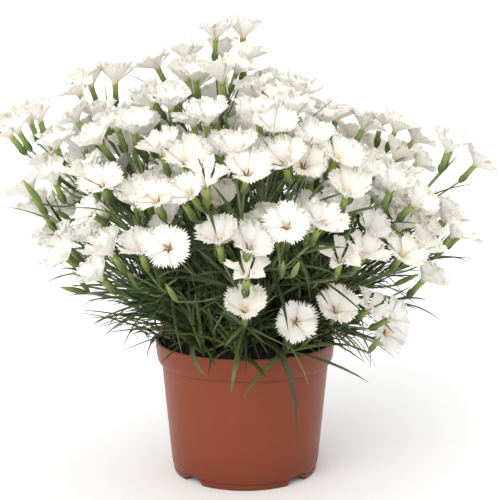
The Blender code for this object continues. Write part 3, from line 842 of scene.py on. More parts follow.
# Calyces. A ribbed green tube that widens to five pointed teeth, closed by a shallow cup inside its mouth,
# with four bracts round its foot.
calyx = {
    "sides": 10,
    "radius": 0.00205,
    "length": 0.0126,
    "heights": (0.0, 0.02, 0.10, 0.30, 0.60, 0.86, 1.0, 1.0, 0.94),
    "radii": (0.34, 0.50, 0.82, 1.00, 1.02, 0.96, 0.94, 0.82, 0.72),
    "teeth": (0, 0, 0, 0, 0, 0.12, 1, 1, 0),
    "toothLength": 0.0030,
    "flare": 0.00045,
    "bracts": 4,
    "bractLength": 0.0062,
    "bractHalfWidth": 0.0011,
}


# Point = foot + axis * height + radius * (cos * side + sin * over). Teeth rise at every second side.
def calyxSurface(feet, facing, widths, tint):
    turn = ringTurns(calyx["sides"])
    heights, radii = np.array(calyx["heights"]), np.array(calyx["radii"])
    side, over = sidesOf(facing)
    tooth = np.array(calyx["teeth"], float)[:, None] * (np.arange(calyx["sides"]) % 2 == 0)
    rise = heights[:, None] * calyx["length"] + tooth * calyx["toothLength"]
    width = radii[None, :, None] * widths[:, None, None] + tooth[None] * calyx["flare"]
    flat = np.cos(turn)[:, None] * side + np.sin(turn)[:, None] * over
    skin = feet[:, None, None] + rise[..., None] * facing[:, None, None] + width[..., None] * flat
    u, v = np.meshgrid(turn / (2 * np.pi), heights)
    return tubeSurface(skin, u, v + tooth * 0.15, tint)


# Four pointed bracts that hug the foot of each calyx
def bractSurface(feet, facing, widths, luck, tint):
    leaves = []
    for foot, face, width in zip(feet, facing, widths):
        _, side, over = frameOf(face)
        start = luck.uniform(0, 6.3)
        for k in range(calyx["bracts"]):
            out = spoke(start + k * math.pi / 2, side, over)
            length = calyx["bractLength"] * luck.uniform(0.8, 1.25)
            root = foot - face * 0.0006 + out * width * 0.35
            middle = foot + face * length * 0.5 + out * width * 0.98
            tip = foot + face * length + out * width * (1.05 + 0.25 * luck.uniform(0, 1))
            leaves.append((root, middle, tip, calyx["bractHalfWidth"], out, 0))
    return leafSurface(leaves, luck, np.repeat(tint, calyx["bracts"]))


# Leaves are rows of root, middle, tip, half width, the way across and the spray. Each blade follows a
# parabola through its root, middle and tip, and its section is a shallow V.
leafShape = {
    "rings": 7,
    "keel": 0.35,
    "thickness": 0.00030,
    "fullest": 0.28,
    "thinnest": 0.00012,
    "twist": 0.5,
}


# Points on the parabolas: (1 - t)^2 * root + 2t(1 - t) * control + t^2 * tip
def leafCurve(leaves, t):
    root, middle, tip = (np.array([leaf[k] for leaf in leaves])[:, None] for k in range(3))
    control, t = 2 * middle - 0.5 * (root + tip), t[None, :, None]
    return (1 - t) ** 2 * root + 2 * t * (1 - t) * control + t**2 * tip


# Half width along a leaf: a clasping base, widest near a third of its length, then a long taper to a point
def leafWidth(share):
    base = 0.45 + 0.55 * np.clip(share / leafShape["fullest"], 0, 1) ** 0.7
    return base * np.clip(1 - share**2.6, 0, 1) ** 0.9


def leafSurface(leaves, luck, tint):
    half = np.array([leaf[3] for leaf in leaves])[:, None]
    across = np.array([leaf[4] for leaf in leaves])
    share = np.linspace(0, 1, leafShape["rings"])
    width = half * leafWidth(share) + leafShape["thinnest"]
    lift, zero = width * leafShape["keel"], np.zeros_like(width)
    thick = leafShape["thickness"] * (1 - 0.7 * share) * np.ones_like(width)
    aside = np.stack([-width, zero, width, zero], axis=2)
    above = np.stack([lift, zero + thick * 0.5, lift, -thick * 0.5 - lift * 0.25], axis=2)
    twist = luck.uniform(-leafShape["twist"], leafShape["twist"], (len(leaves), 1)) * share
    cos, sin = np.cos(twist)[..., None], np.sin(twist)[..., None]
    section = (aside * cos - above * sin, aside * sin + above * cos)
    return sweep(leafCurve(leaves, share), across, *section, np.array([0.0, 0.5, 1.0, 0.5]), tint)


# More leaves than the solids hold: pairs up each stem, tufts round each crown and on the mound, and short
# leafy shoots
foliage = {
    "seed": 7,
    "stemRings": (1, 2, 3, 4, 5, 7, 8, 10, 11),
    "stemLeafLength": 0.040,
    "tuft": 26,
    "tuftLength": 0.058,
    "tuftLean": (0.15, 0.85),
    "shoots": 15,
    "shootLength": 0.072,
    "shootLean": (0.05, 0.85),
    "shootLeafLength": 0.034,
    "halfWidth": 0.00092,
    "broad": 1.65,
    "spiral": 2.4,
    "snap": 0.006,
    "slimming": 0.5,
    "clear": 0.0016,
    "paleFrom": 0.150,
    "paleOver": 0.150,
    "basal": 46,
    "basalTurn": 2.39996,
    "basalReach": 0.056,
    "basalLeaves": 11,
    "basalLength": 0.060,
}


# A leaf for each root: it leaves at a lean to its stem, and its second half arches over
def leafRows(roots, along, out, length, lean, fall, spray, luck, broad=1.0):
    count = len(roots)
    size = length * luck.uniform(0.70, 1.25, (count, 1))
    angle = lean * luck.uniform(0.7, 1.25, (count, 1))
    first = units(along * np.cos(angle) + out * np.sin(angle))
    bend = out * luck.uniform(0.0, 0.5, (count, 1)) + down * fall * luck.uniform(0.2, 1.6, (count, 1))
    middle = roots + first * size * 0.5
    tip = middle + units(first + bend) * size * 0.5
    half = broad * foliage["halfWidth"] * luck.uniform(0.62, 1.35, count)
    return [(roots[i], middle[i], tip[i], half[i], out[i] + along[i] * 0.2, spray) for i in range(count)]


# A tuft of leaves that leave one foot in a spiral, up to a slip along its heading
def tuftRows(foot, heading, count, outset, slip, leans, length, fall, spray, luck):
    _, side, over = frameOf(heading)
    turn = np.arange(count)[:, None] * foliage["spiral"] + luck.uniform(0, 6)
    out = np.cos(turn) * side + np.sin(turn) * over
    slips = math.copysign(1, slip) * luck.uniform(0, abs(slip), (count, 1))
    roots = foot + out * outset + heading * slips
    lean = luck.uniform(*leans, (count, 1))
    along = np.broadcast_to(heading, roots.shape)
    return leafRows(roots, along, out, length, lean, fall, spray, luck, foliage["broad"])


# Leaf pairs on opposite sides of a stem at some of its rings, each pair a quarter turn from the last
def pairsAlong(path, rings, length, lean, fall, spray, luck):
    rings = np.array(rings)
    ahead, side, over = carryFrames(path[None], frameOf(path[1] - path[0])[1][None])
    turn = luck.uniform(0, 6.3) + np.repeat(np.arange(len(rings)) * math.pi / 2, 2)
    turn = (turn + np.tile([0, math.pi], len(rings)) + luck.uniform(-0.3, 0.3, 2 * len(rings)))[:, None]
    rings = np.repeat(rings, 2)
    out = np.cos(turn) * side[0][rings] + np.sin(turn) * over[0][rings]
    return leafRows(path[rings], ahead[0][rings], out, length, lean, fall, spray, luck)


# Keeps the leaves whose points stay off the petals, the pot and the soil
def clearLeaves(leaves, blooms):
    spots = leafCurve(leaves, np.linspace(0.12, 1, 9)).reshape(-1, 3)
    radius = np.linalg.norm(spots[:, :2], axis=1)
    floor = np.where(radius < layout["insideRim"], moundHeight(radius), layout["rimHeight"])
    met = (radius < layout["rimRadius"] + 0.003) & (spots[:, 2] < floor + foliage["clear"])
    met |= insideBlooms(spots, foliage["clear"], blooms).any(axis=0)
    met = met.reshape(len(leaves), -1).any(axis=1)
    return [leaf for leaf, hit in zip(leaves, met) if not hit]


# Moves the root of each of the solids' leaves onto the nearest stem of its own spray, and slims the blade
def snapLeaves(leaves, stemPaths):
    rimWidths = [row[3] * mm for row in rimLeaves]
    made = []
    for root, middle, tip, half, across, spray in leaves:
        spots = np.concatenate([path for path, owner in stemPaths if owner == spray])
        gaps = np.linalg.norm(spots - root, axis=1)
        if gaps.min() < foliage["snap"]:
            root = spots[gaps.argmin()]
        if half not in rimWidths:
            half = half * foliage["slimming"]
        made.append((root, middle, tip, half, across, spray))
    return made


# A shoot along a short line from a crown or the mound, with leaf pairs, where its probe meets nothing
def leafyShoot(line, rings, spray, blooms, luck, probe=None):
    path = smoothPaths([line], 10, 2)[0]
    if not clearLeaves([probe or path[[3, 6, 9]]], blooms):
        return [], []
    return [(path, spray)], pairsAlong(path, rings, foliage["shootLeafLength"], 0.5, 0.08, spray, luck)


def moreLeaves(crowns, stemPaths, blooms):
    luck = np.random.default_rng(foliage["seed"])
    made, shoots = [], []
    for spray, (_, high, start) in enumerate(crowns):
        _, side, over = frameOf(start)
        size, count = foliage["tuftLength"], foliage["tuft"]
        made += tuftRows(high, start, count, 0, -0.006, foliage["tuftLean"], size, 0.25, spray, luck)
        for _ in range(foliage["shoots"]):
            bearing, lean = luck.uniform(0, 6.3), luck.uniform(*foliage["shootLean"])
            heading = unit(start * math.cos(lean) + spoke(bearing, side, over) * math.sin(lean))
            length = foliage["shootLength"] * luck.uniform(0.4, 1.3)
            middle = high + heading * length * 0.5
            end = middle + unit(heading + up * 0.45) * length * 0.5
            line, probe = [high - start * 0.002, middle, end], (high + start * 0.01, middle, end)
            shoot, leaves = leafyShoot(line, range(2, 10), spray, blooms, luck, probe)
            shoots += shoot
            made += leaves
    for number in range(foliage["basal"]):
        out = foliage["basalReach"] * math.sqrt((number + 0.5) / foliage["basal"])
        bearing = number * foliage["basalTurn"] + luck.uniform(-0.3, 0.3)
        radial = np.array([math.cos(bearing), math.sin(bearing), 0.0])
        foot = radial * out + up * (moundHeight(out) - 0.002)
        heading = unit(up + radial * out / foliage["basalReach"] * luck.uniform(0.2, 0.9))
        spray = int(np.argmin([np.linalg.norm(crown[1] - foot) for crown in crowns]))
        leans, size = (0.1, 0.7 + 0.6 * out / foliage["basalReach"]), foliage["basalLength"]
        made += tuftRows(foot, heading, foliage["basalLeaves"], 0.001, 0.012, leans, size, 0.22, spray, luck)
        line = [foot, foot + heading * 0.02, foot + heading * 0.034 + up * 0.012]
        shoot, leaves = leafyShoot(line, range(3, 10), spray, blooms, luck)
        shoots += shoot
        made += leaves
    for path, spray in stemPaths:
        made += pairsAlong(path, foliage["stemRings"], foliage["stemLeafLength"], 0.46, 0.12, spray, luck)
    return clearLeaves(made, blooms), shoots


# Blooms between and behind those of the solids: a place is kept where it meets no petal and no stem
filling = {
    "seed": 19,
    "tries": 15000,
    "most": 200,
    "nearest": 16,
    "spacing": 0.0135,
    "lowest": 0.186,
    "inset": (0.74, 1.03),
    "radius": (0.0128, 0.0155),
    "outward": 0.8,
    "upward": 0.45,
    "wander": 0.35,
    "around": 0.05,
    "petalGap": 0.0006,
    "calyxGap": 0.0022,
    "stemGap": 0.0010,
    "slim": 0.8,
    "placed": ((2, -143, 173, (0.05, -0.52, 0.85)),),
}

# Closed buds, each on a twig from the nearest stem
budding = {
    "seed": 23,
    "most": 46,
    "tries": 3000,
    "scatter": 0.013,
    "spacing": 0.012,
    "gap": 0.0020,
    "length": 0.0200,
    "radius": 0.00205,
    "profile": (0.30, 0.75, 1.0, 1.06, 1.02, 0.95, 0.80, 0.62, 0.36, 0.10),
}

# What a twig to them may be like
twigs = {
    "shares": (0.15, 0.4, 0.65, 0.9),
    "shortest": 0.018,
    "straight": 0.6,
    "facing": 0.25,
    "radius": 0.0009,
    "sweep": 0.006,
}


# The twig to this knee from the spot on a stem that it can leave from without a sharp turn, and its spray
def twigTo(knee, facing, stems):
    best = None
    for spray, rows in enumerate(stems):
        for base, bend, fork in rows:
            for a, b in ((base, bend), (bend, fork)):
                for share in twigs["shares"]:
                    spot = a + (b - a) * share
                    gap = knee - spot
                    size = np.linalg.norm(gap)
                    if size < twigs["shortest"] or gap @ unit(b - a) < twigs["straight"] * size:
                        continue
                    if gap @ facing >= twigs["facing"] * size and (best is None or size < best[0]):
                        best = (size, spot, spray)
    if best is None:
        return None
    base = best[1]
    return np.array([base, base * 0.45 + knee * 0.55 - facing * twigs["sweep"], knee]), best[2]


# Whether the line, read from its third point on, meets a bloom, the pot or the soil
def blocked(line, gap, blooms):
    spots, sizes = alongPath(line, [twigs["radius"]] * len(line))
    return insideBlooms(spots, gap, blooms).any() or not offPot(spots[2:], sizes[2:])


def extraBloom(centre, facing, spin, radius, **more):
    lifts = [0.0] * layout["petals"]
    return dict(centre=centre, facing=facing, spin=spin, radius=radius, lifts=lifts, head=-1, **more)


def fillBlooms(blooms, room, stems):
    luck = np.random.default_rng(filling["seed"])
    centres = column(blooms, "centre")
    made, paths = [], []
    for x, y, z, facing in filling["placed"]:
        place = extraBloom(np.array([x, y, z]) * mm, unit(facing), 1.57, filling["radius"][1], star=1.0)
        line, place["spray"] = twigTo(kneeOf(place), place["facing"], stems)
        made.append(place)
        paths.append((line, place["spray"]))
        centres = np.vstack([centres, place["centre"]])
    for _ in range(filling["tries"]):
        pick = luck.integers(0, len(blooms))
        order = np.argsort(np.linalg.norm(centres[:len(blooms)] - centres[pick], axis=1))
        other = luck.choice(order[1:filling["nearest"] + 1])
        spot = centres[pick] + (centres[other] - centres[pick]) * luck.uniform(0.3, 0.7)
        spot = heart + (spot - heart) * luck.uniform(*filling["inset"])
        free = np.linalg.norm(centres - spot, axis=1).min() >= filling["spacing"]
        if spot[2] < filling["lowest"] or not free:
            continue
        facing = filling["outward"] * unit(spot - heart) + filling["upward"] * up
        facing = unit(facing + luck.uniform(-filling["wander"], filling["wander"], 3))
        place = extraBloom(spot, facing, luck.uniform(0, 1.25), luck.uniform(*filling["radius"]))
        around = np.linalg.norm(centres - spot, axis=1) < filling["around"]
        others = [bloom for bloom, close in zip(blooms + made, around) if close]
        slim = dict(place, radius=place["radius"] * filling["slim"])
        inWay = [calyxSamples(bloom) for bloom in others] + [room.points]
        if (
            insideBlooms(petalSamples(place)[:7], filling["petalGap"], others).any()
            or insideBlooms(calyxSamples(place), filling["calyxGap"], others).any()
            or insideBlooms(np.concatenate(inWay), filling["stemGap"], [slim]).any()
        ):
            continue
        found = twigTo(kneeOf(place), facing, stems)
        if found is None or blocked(found[0], filling["stemGap"], blooms + made):
            continue
        place["spray"] = found[1]
        made.append(place)
        paths.append(found)
        centres = np.vstack([centres, spot])
        if len(made) == filling["most"]:
            break
    return made, paths


def addBuds(blooms, stems):
    luck = np.random.default_rng(budding["seed"])
    centres = column(blooms, "centre")
    made, paths = [], []
    for _ in range(budding["tries"]):
        spot = centres[luck.integers(0, len(blooms))] + luck.normal(0, budding["scatter"], 3)
        facing = unit(unit(spot - heart) + up * 0.5 + luck.uniform(-0.4, 0.4, 3))
        knee = spot - facing * budding["length"]
        found = twigTo(knee, facing, stems)
        if found is None or blocked(np.vstack([found[0], spot]), budding["gap"], blooms):
            continue
        if any(np.linalg.norm(row[1] - spot) < budding["spacing"] for row, _ in made):
            continue
        made.append((np.stack([knee, spot]), found[1]))
        paths.append(found)
        if len(made) == budding["most"]:
            break
    return made, paths


# Each bloom's habit: those on top stay cupped, those that face the viewer lie open, a few are narrow stars
habits = {
    "seed": 3,
    "cup": 0.30,
    "cupOnTop": 0.55,
    "wander": 0.35,
    "stars": 0.08,
    "age": (1.3, 3.0),
}


def nameHabits(blooms):
    luck = np.random.default_rng(habits["seed"])
    for place in blooms:
        cup = habits["cup"] + habits["cupOnTop"] * place["facing"][2]
        cup = cup + luck.uniform(-habits["wander"], habits["wander"])
        place["cup"] = float(np.clip(cup, 0, 1))
        place["star"] = max(place.get("star", 0.0), float(luck.uniform(0, 1) < habits["stars"]))
        place["tint"] = float(np.clip(luck.beta(*habits["age"]), 0, 1))
    return blooms


# A bud is a tube on a straight line, whose radius follows the profile
def budSurface(lines, luck):
    profile = np.array(budding["profile"])
    widths = budding["radius"] * luck.uniform(0.75, 1.1, (len(lines), 1)) * profile
    return tubes(smoothPaths(lines, len(profile), 0), widths, 8, luck.uniform(0, 1, len(lines)))


# Stamens: thin threads that fan out of the throat, each with a swollen tip
stamen = {
    "each": 6,
    "turn": 1.047,
    "radii": (0.00009, 0.00009, 0.00009, 0.00008, 0.00022, 0.00024, 0.00006),
    "reach": (0.0006, 0.0026),
    "rise": (0.0000, 0.0032),
}


def stamenSurface(blooms, luck):
    lines = []
    for place in blooms:
        face, side, over = frameOf(place["facing"])
        for k in range(stamen["each"]):
            out = spoke(k * stamen["turn"] + luck.uniform(-0.3, 0.3), side, over)
            reach, rise = luck.uniform(*stamen["reach"]), luck.uniform(*stamen["rise"])
            steps = ((-0.0085, 0.0003), (-0.0045, 0.0008), (rise - 0.0030, reach))
            lines.append([place["centre"] + face * along + out * aside for along, aside in steps])
    radii = np.tile(stamen["radii"], (len(lines), 1))
    paths = smoothPaths(lines, len(stamen["radii"]), 1)
    return tubes(paths, radii, 4, luck.uniform(0, 1, len(lines)))


# A shader's nodes, with a short call for each kind that the finishes use
class Paint:
    def __init__(self, tree):
        self.nodes, self.links = tree.nodes, tree.links

    def feed(self, socket, value):
        if isinstance(value, bpy.types.NodeSocket):
            self.links.new(value, socket)
        else:
            socket.default_value = (*value, 1) if isinstance(value, tuple) else value

    def math(self, operation, first, second=0.0, clamp=False):
        node = self.nodes.new("ShaderNodeMath")
        node.operation, node.use_clamp = operation, clamp
        self.feed(node.inputs[0], first)
        self.feed(node.inputs[1], second)
        return node.outputs[0]

    def mix(self, share, first, second, blend="MIX"):
        node = self.nodes.new("ShaderNodeMix")
        node.data_type, node.blend_type = "RGBA", blend
        for place, value in ((0, share), (6, first), (7, second)):
            self.feed(node.inputs[place], value)
        return node.outputs[2]

    def ramp(self, source, stops):
        node = self.nodes.new("ShaderNodeValToRGB")
        marks = node.color_ramp.elements
        for mark, (place, colour) in zip(marks, (stops[0], stops[-1])):
            mark.position, mark.color = place, (*colour, 1)
        for place, colour in stops[1:-1]:
            marks.new(place).color = (*colour, 1)
        self.links.new(source, node.inputs["Fac"])
        return node.outputs["Color"]

    # A grey ramp: how much of something there is
    def amount(self, source, *stops):
        return self.ramp(source, [(place, (value,) * 3) for place, value in stops])

    def noise(self, scale, detail=3.0, rough=0.5):
        node = self.nodes.new("ShaderNodeTexNoise")
        for label, value in (("Scale", scale), ("Detail", detail), ("Roughness", rough)):
            node.inputs[label].default_value = value
        self.links.new(self.place("Object"), node.inputs["Vector"])
        return node.outputs["Fac"]

    def place(self, label):
        return self.nodes.new("ShaderNodeTexCoord").outputs[label]

    # A vector's x, y and z
    def parts(self, vector):
        node = self.nodes.new("ShaderNodeSeparateXYZ")
        self.links.new(vector, node.inputs[0])
        return node.outputs

    def uv(self):
        node = self.nodes.new("ShaderNodeUVMap")
        node.uv_map = "UVMap"
        return self.parts(node.outputs["UV"])[:2]

    def attribute(self, label):
        node = self.nodes.new("ShaderNodeAttribute")
        node.attribute_name = label
        return node.outputs["Fac"]

    def bump(self, height, strength, distance):
        node = self.nodes.new("ShaderNodeBump")
        node.inputs["Strength"].default_value, node.inputs["Distance"].default_value = strength, distance
        self.links.new(height, node.inputs["Height"])
        self.links.new(node.outputs["Normal"], self.shader.inputs["Normal"])

    def finish(self, colour):
        self.feed(self.shader.inputs["Base Color"], colour)
        return self.material


# A new material's nodes, with the values that are the same all over set on its shader
def newPaint(name, sockets):
    material = bpy.data.materials.new(name)
    material.use_nodes = True
    paint = Paint(material.node_tree)
    paint.material, paint.shader = material, paint.nodes["Principled BSDF"]
    for label, value in sockets.items():
        paint.shader.inputs[label].default_value = value
    return paint


petalFinish = {
    "white": (0.972, 0.955, 0.908),
    "cream": (0.930, 0.860, 0.700),
    # painted shade: the underside's colour, darker and creamier than the upper side
    "shadedUnderside": (0.958, 0.930, 0.852),
    "throat": (0.98, 0.80, 0.63),
    "heart": (0.95, 0.87, 0.58),
    "blush": (0.97, 0.89, 0.82),
    "clear": (1.0, 1.0, 1.0),
    "vein": (0.88, 0.78, 0.68),
    "veins": 19.0,
    "veinShare": 0.07,
    "patches": 70.0,
    "bump": (0.35, 0.0002),
    "sockets": {
        "Roughness": 0.62,
        "Subsurface Weight": 0.50,
        "Subsurface Radius": (1.0, 0.95, 0.8),
        "Subsurface Scale": 0.0025,
        "Sheen Weight": 0.12,
    },
}


# White limb, creamy where it is old, a little darker and creamier on the underside as painted shade, peach in the
# throat, with fine veins that run to the rim
def petalMaterial(look=petalFinish):
    paint = newPaint("petalWhite", look["sockets"])
    across, along = paint.uv()
    # Painted shade: the underside gets a darker, creamier white than the upper side
    base = paint.mix(paint.attribute("upperSide"), look["shadedUnderside"], look["white"])
    worn = paint.math("ADD", paint.noise(look["patches"]), 0.35)
    base = paint.mix(paint.math("MULTIPLY", paint.attribute("tint"), worn, clamp=True), base, look["cream"])
    shade = paint.ramp(along, [
        (0.0, look["heart"]), (0.06, look["heart"]), (0.12, look["throat"]), (0.22, look["blush"]),
        (0.36, look["clear"]), (1.0, look["clear"]),
    ])
    base = paint.mix(1.0, base, shade, "MULTIPLY")
    vein = paint.math("MULTIPLY", paint.math("SUBTRACT", across, 0.5), look["veins"] * 6.28)
    vein = paint.math("SINE", vein)
    rib = paint.math("MULTIPLY", paint.math("MAXIMUM", vein, 0.0), look["veinShare"])
    paint.bump(vein, *look["bump"])
    return paint.finish(paint.mix(rib, base, look["vein"]))


leafFinish = {
    "deep": (0.016, 0.030, 0.009),
    "mid": (0.054, 0.088, 0.024),
    "fresh": (0.190, 0.235, 0.068),
    "base": (0.240, 0.270, 0.100),
    "patches": 60.0,
    "lines": 50.0,
    "bump": (0.3, 0.0002),
    "sockets": {"Roughness": 0.46},
}


# Green blade, paler along the midrib and at its clasping base, from deep to fresh green leaf by leaf
def leafMaterial(look=leafFinish):
    paint = newPaint("leafGreen", look["sockets"])
    across, along = paint.uv()
    value = paint.math("MULTIPLY", paint.math("SUBTRACT", paint.noise(look["patches"]), 0.5), 0.5)
    value = paint.math("ADD", paint.attribute("tint"), value, clamp=True)
    base = paint.ramp(value, [(0.0, look["deep"]), (0.5, look["mid"]), (1.0, look["fresh"])])
    base = paint.mix(paint.amount(along, (0.0, 0.75), (0.10, 0.35), (0.30, 0.0)), base, look["base"])
    middle = paint.math("ABSOLUTE", paint.math("SUBTRACT", across, 0.5))
    base = paint.mix(paint.amount(middle, (0.0, 0.35), (0.06, 0.0)), base, look["fresh"])
    paint.bump(paint.math("SINE", paint.math("MULTIPLY", across, look["lines"])), *look["bump"])
    return paint.finish(base)


stemFinish = {
    "shade": (0.080, 0.125, 0.040),
    "light": (0.210, 0.270, 0.105),
    "waxy": (0.270, 0.310, 0.190),
    "patches": 110.0,
    "sockets": {"Roughness": 0.5},
}


# Stems: mid green with a waxy pale bloom in patches
def stemMaterial(look=stemFinish):
    paint = newPaint("stemGreen", look["sockets"])
    base = paint.mix(paint.attribute("tint"), look["shade"], look["light"])
    wax = paint.amount(paint.noise(look["patches"]), (0.45, 0.0), (0.75, 0.6))
    return paint.finish(paint.mix(wax, base, look["waxy"]))


calyxFinish = {
    "low": (0.085, 0.140, 0.040),
    "high": (0.300, 0.380, 0.085),
    "shade": (0.080, 0.125, 0.040),
    "ribs": 20,
    "bump": (0.5, 0.0002),
    "sockets": {"Roughness": 0.48},
}


# Calyces, bracts and buds: yellow-green at the mouth, darker to the base, with fine ribs
def calyxMaterial(look=calyxFinish):
    paint = newPaint("calyxGreen", look["sockets"])
    across, along = paint.uv()
    base = paint.ramp(along, [(0.0, look["low"]), (0.45, look["low"]), (0.95, look["high"])])
    base = paint.mix(paint.math("MULTIPLY", paint.attribute("tint"), 0.45), base, look["high"])
    ribs = paint.math("SINE", paint.math("MULTIPLY", across, look["ribs"] * 6.28))
    dark = paint.math("MULTIPLY", paint.math("MAXIMUM", ribs, 0.0), 0.30)
    paint.bump(ribs, *look["bump"])
    return paint.finish(paint.mix(dark, base, look["shade"]))


# Finishes in two colours that mottle into each other
plainFinish = {
    "stamenCream": {
        "colours": ((0.86, 0.82, 0.72), (0.84, 0.68, 0.54)), "scale": 200.0, "roughness": 0.6, "bump": None,
    },
    "pottingSoil": {
        "colours": ((0.010, 0.009, 0.009), (0.040, 0.030, 0.024)), "scale": 260.0, "roughness": 0.95,
        "bump": (0.8, 0.001),
    },
    "driedLeaf": {
        "colours": ((0.110, 0.066, 0.042), (0.360, 0.270, 0.200)), "scale": 150.0, "roughness": 0.8,
        "bump": (0.5, 0.0006),
    },
}


def plainMaterial(name):
    look = plainFinish[name]
    paint = newPaint(name, {"Roughness": look["roughness"]})
    patches = paint.noise(look["scale"], 4.0)
    tint = paint.math("MULTIPLY", paint.attribute("tint"), 0.6)
    share = paint.math("ADD", paint.math("MULTIPLY", patches, 0.6), tint)
    if look["bump"]:
        paint.bump(patches, *look["bump"])
    return paint.finish(paint.mix(paint.math("SUBTRACT", share, 0.1, clamp=True), *look["colours"]))


potFinish = {
    "body": (0.203, 0.0415, 0.0145),
    "shade": (0.180, 0.0360, 0.0120),
    "scuff": (0.270, 0.0760, 0.0370),
    # painted shade: the darker colour of the foot
    "paintedFootShade": (0.130, 0.0270, 0.0105),
    "paintedFootShadeHeight": 0.030,
    "clouds": 9.0,
    "scuffs": (70.0, 8.0, 0.7),
    "smears": 24.0,
    "grain": (1400.0, 2.0),
    "roughness": (0.31, 0.45),
    "bump": (0.12, 0.0002),
    "sockets": {"Specular IOR Level": 0.26},
}


# Satin plastic with a fine grain, faint moulding clouds, a few pale scuffs, and painted shade that darkens the
# foot
def potMaterial(look=potFinish):
    paint = newPaint("terracottaPlastic", look["sockets"])
    base = paint.mix(paint.noise(look["clouds"]), look["body"], look["shade"])
    scuffs = paint.amount(paint.noise(*look["scuffs"]), (0.62, 0.0), (0.78, 0.5))
    base = paint.mix(scuffs, base, look["scuff"])
    # Painted shade: the colour darkens towards the foot, over its lowest 30 mm
    low = paint.math("DIVIDE", paint.parts(paint.place("Object"))[2], look["paintedFootShadeHeight"])
    base = paint.mix(paint.amount(low, (0.0, 0.75), (1.0, 0.0)), base, look["paintedFootShade"])
    gloss = paint.nodes.new("ShaderNodeMapRange")
    gloss.inputs["To Min"].default_value, gloss.inputs["To Max"].default_value = look["roughness"]
    paint.links.new(paint.noise(look["smears"]), gloss.inputs["Value"])
    paint.links.new(gloss.outputs[0], paint.shader.inputs["Roughness"])
    paint.bump(paint.noise(*look["grain"]), *look["bump"])
    return paint.finish(base)


# Pot, in metres. Each row of its profile gives a radius and how far out from it, then a height and how far
# up from it. A row of the foot also says how far the arches lift it. The rows run from under the floor, down
# the foot, up the wall, over the rim and down inside.
pot = {
    "bodyTop": 0.0605,
    "bodyFoot": 0.0540,
    "footRadius": 0.0523,
    "footWidth": 0.0040,
    "wall": 0.0016,
    "floor": 0.0050,
    "collar": 0.0170,
    "bodyStart": 0.0096,
    "bodyRows": 16,
    "notchHeight": 0.0046,
    "notchAngle": 19,
    "notchTurns": (45, 135, 225, 315),
    "sides": 144,
    "drainRadius": 0.0040,
    "drainRing": 0.0400,
    "drainSides": 24,
    "foot": (
        ("inner", -0.0010, "floor", 0, 0),
        ("inner", -0.0003, "floor", -0.0003, 0),
        ("inner", 0, "ground", 0.0006, 1),
        ("inner", 0.0006, "ground", 0, 1),
        ("foot", -0.0008, "ground", 0, 1),
        ("foot", -0.0001, "ground", 0.0004, 1),
        ("foot", 0.0003, "ground", 0.0014, 1),
        ("foot", 0.0004, "ground", 0.0038, 0.80),
        ("foot", 0, "ground", 0.0042, 0.75),
        ("foot", 0.0006, "ground", 0.0048, 0.65),
        ("foot", 0.0012, "ground", 0.0062, 0.4),
        ("bodyFoot", -0.0002, "ground", 0.0084, 0),
        ("bodyFoot", 0, "ground", 0.0096, 0),
    ),
    "collarAndRim": (
        ("bodyTop", -0.0003, "collar", -0.0009, 0),
        ("bodyTop", -0.0004, "collar", -0.0003, 0),
        ("bodyTop", 0.0001, "collar", 0.0001, 0),
        ("bodyTop", 0.0010, "collar", 0.0003, 0),
        ("bodyTop", 0.0018, "collar", 0.0009, 0),
        ("bodyTop", 0.0024, "collar", 0.0020, 0),
        ("bodyTop", 0.0030, "collar", 0.0036, 0),
        ("rim", -0.0010, "collar", 0.0060, 0),
        ("rim", -0.0006, "collar", 0.0090, 0),
        ("rim", -0.0003, "top", -0.0045, 0),
        ("rim", -0.0001, "top", -0.0024, 0),
        ("rim", 0, "top", -0.0012, 0),
        ("rim", -0.0002, "top", -0.0004, 0),
        ("rim", -0.0007, "top", 0, 0),
        ("rim", -0.0013, "top", -0.0001, 0),
        ("rim", -0.0018, "top", -0.0006, 0),
        ("rim", -0.0021, "top", -0.0016, 0),
        ("rim", -0.00368, "collar", 0.0080, 0),
        ("rim", -0.0038, "collar", 0.0050, 0),
        ("bodyTop", -0.0016, "collar", -0.0020, 0),
        ("bodyFoot", -0.0016, "ground", 0.0090, 0),
        ("bodyFoot", -0.0036, "floor", 0.0016, 0),
    ),
}


# A surface turned round the upright axis: x = radius * cos, y = radius * sin, with the heights of its poles
def latheSurface(radius, height, poles, uvScale):
    turn = ringTurns(height.shape[1])
    skin = np.stack([radius * np.cos(turn), radius * np.sin(turn), height + radius * 0], axis=-1)
    ends = [np.array([[[0, 0, pole]]]) for pole in poles]
    surface = tubeSurface(skin[None], skin[..., 0], skin[..., 1], 0, ends)
    return dict(surface, uv=surface["points"][..., :2] * uvScale)


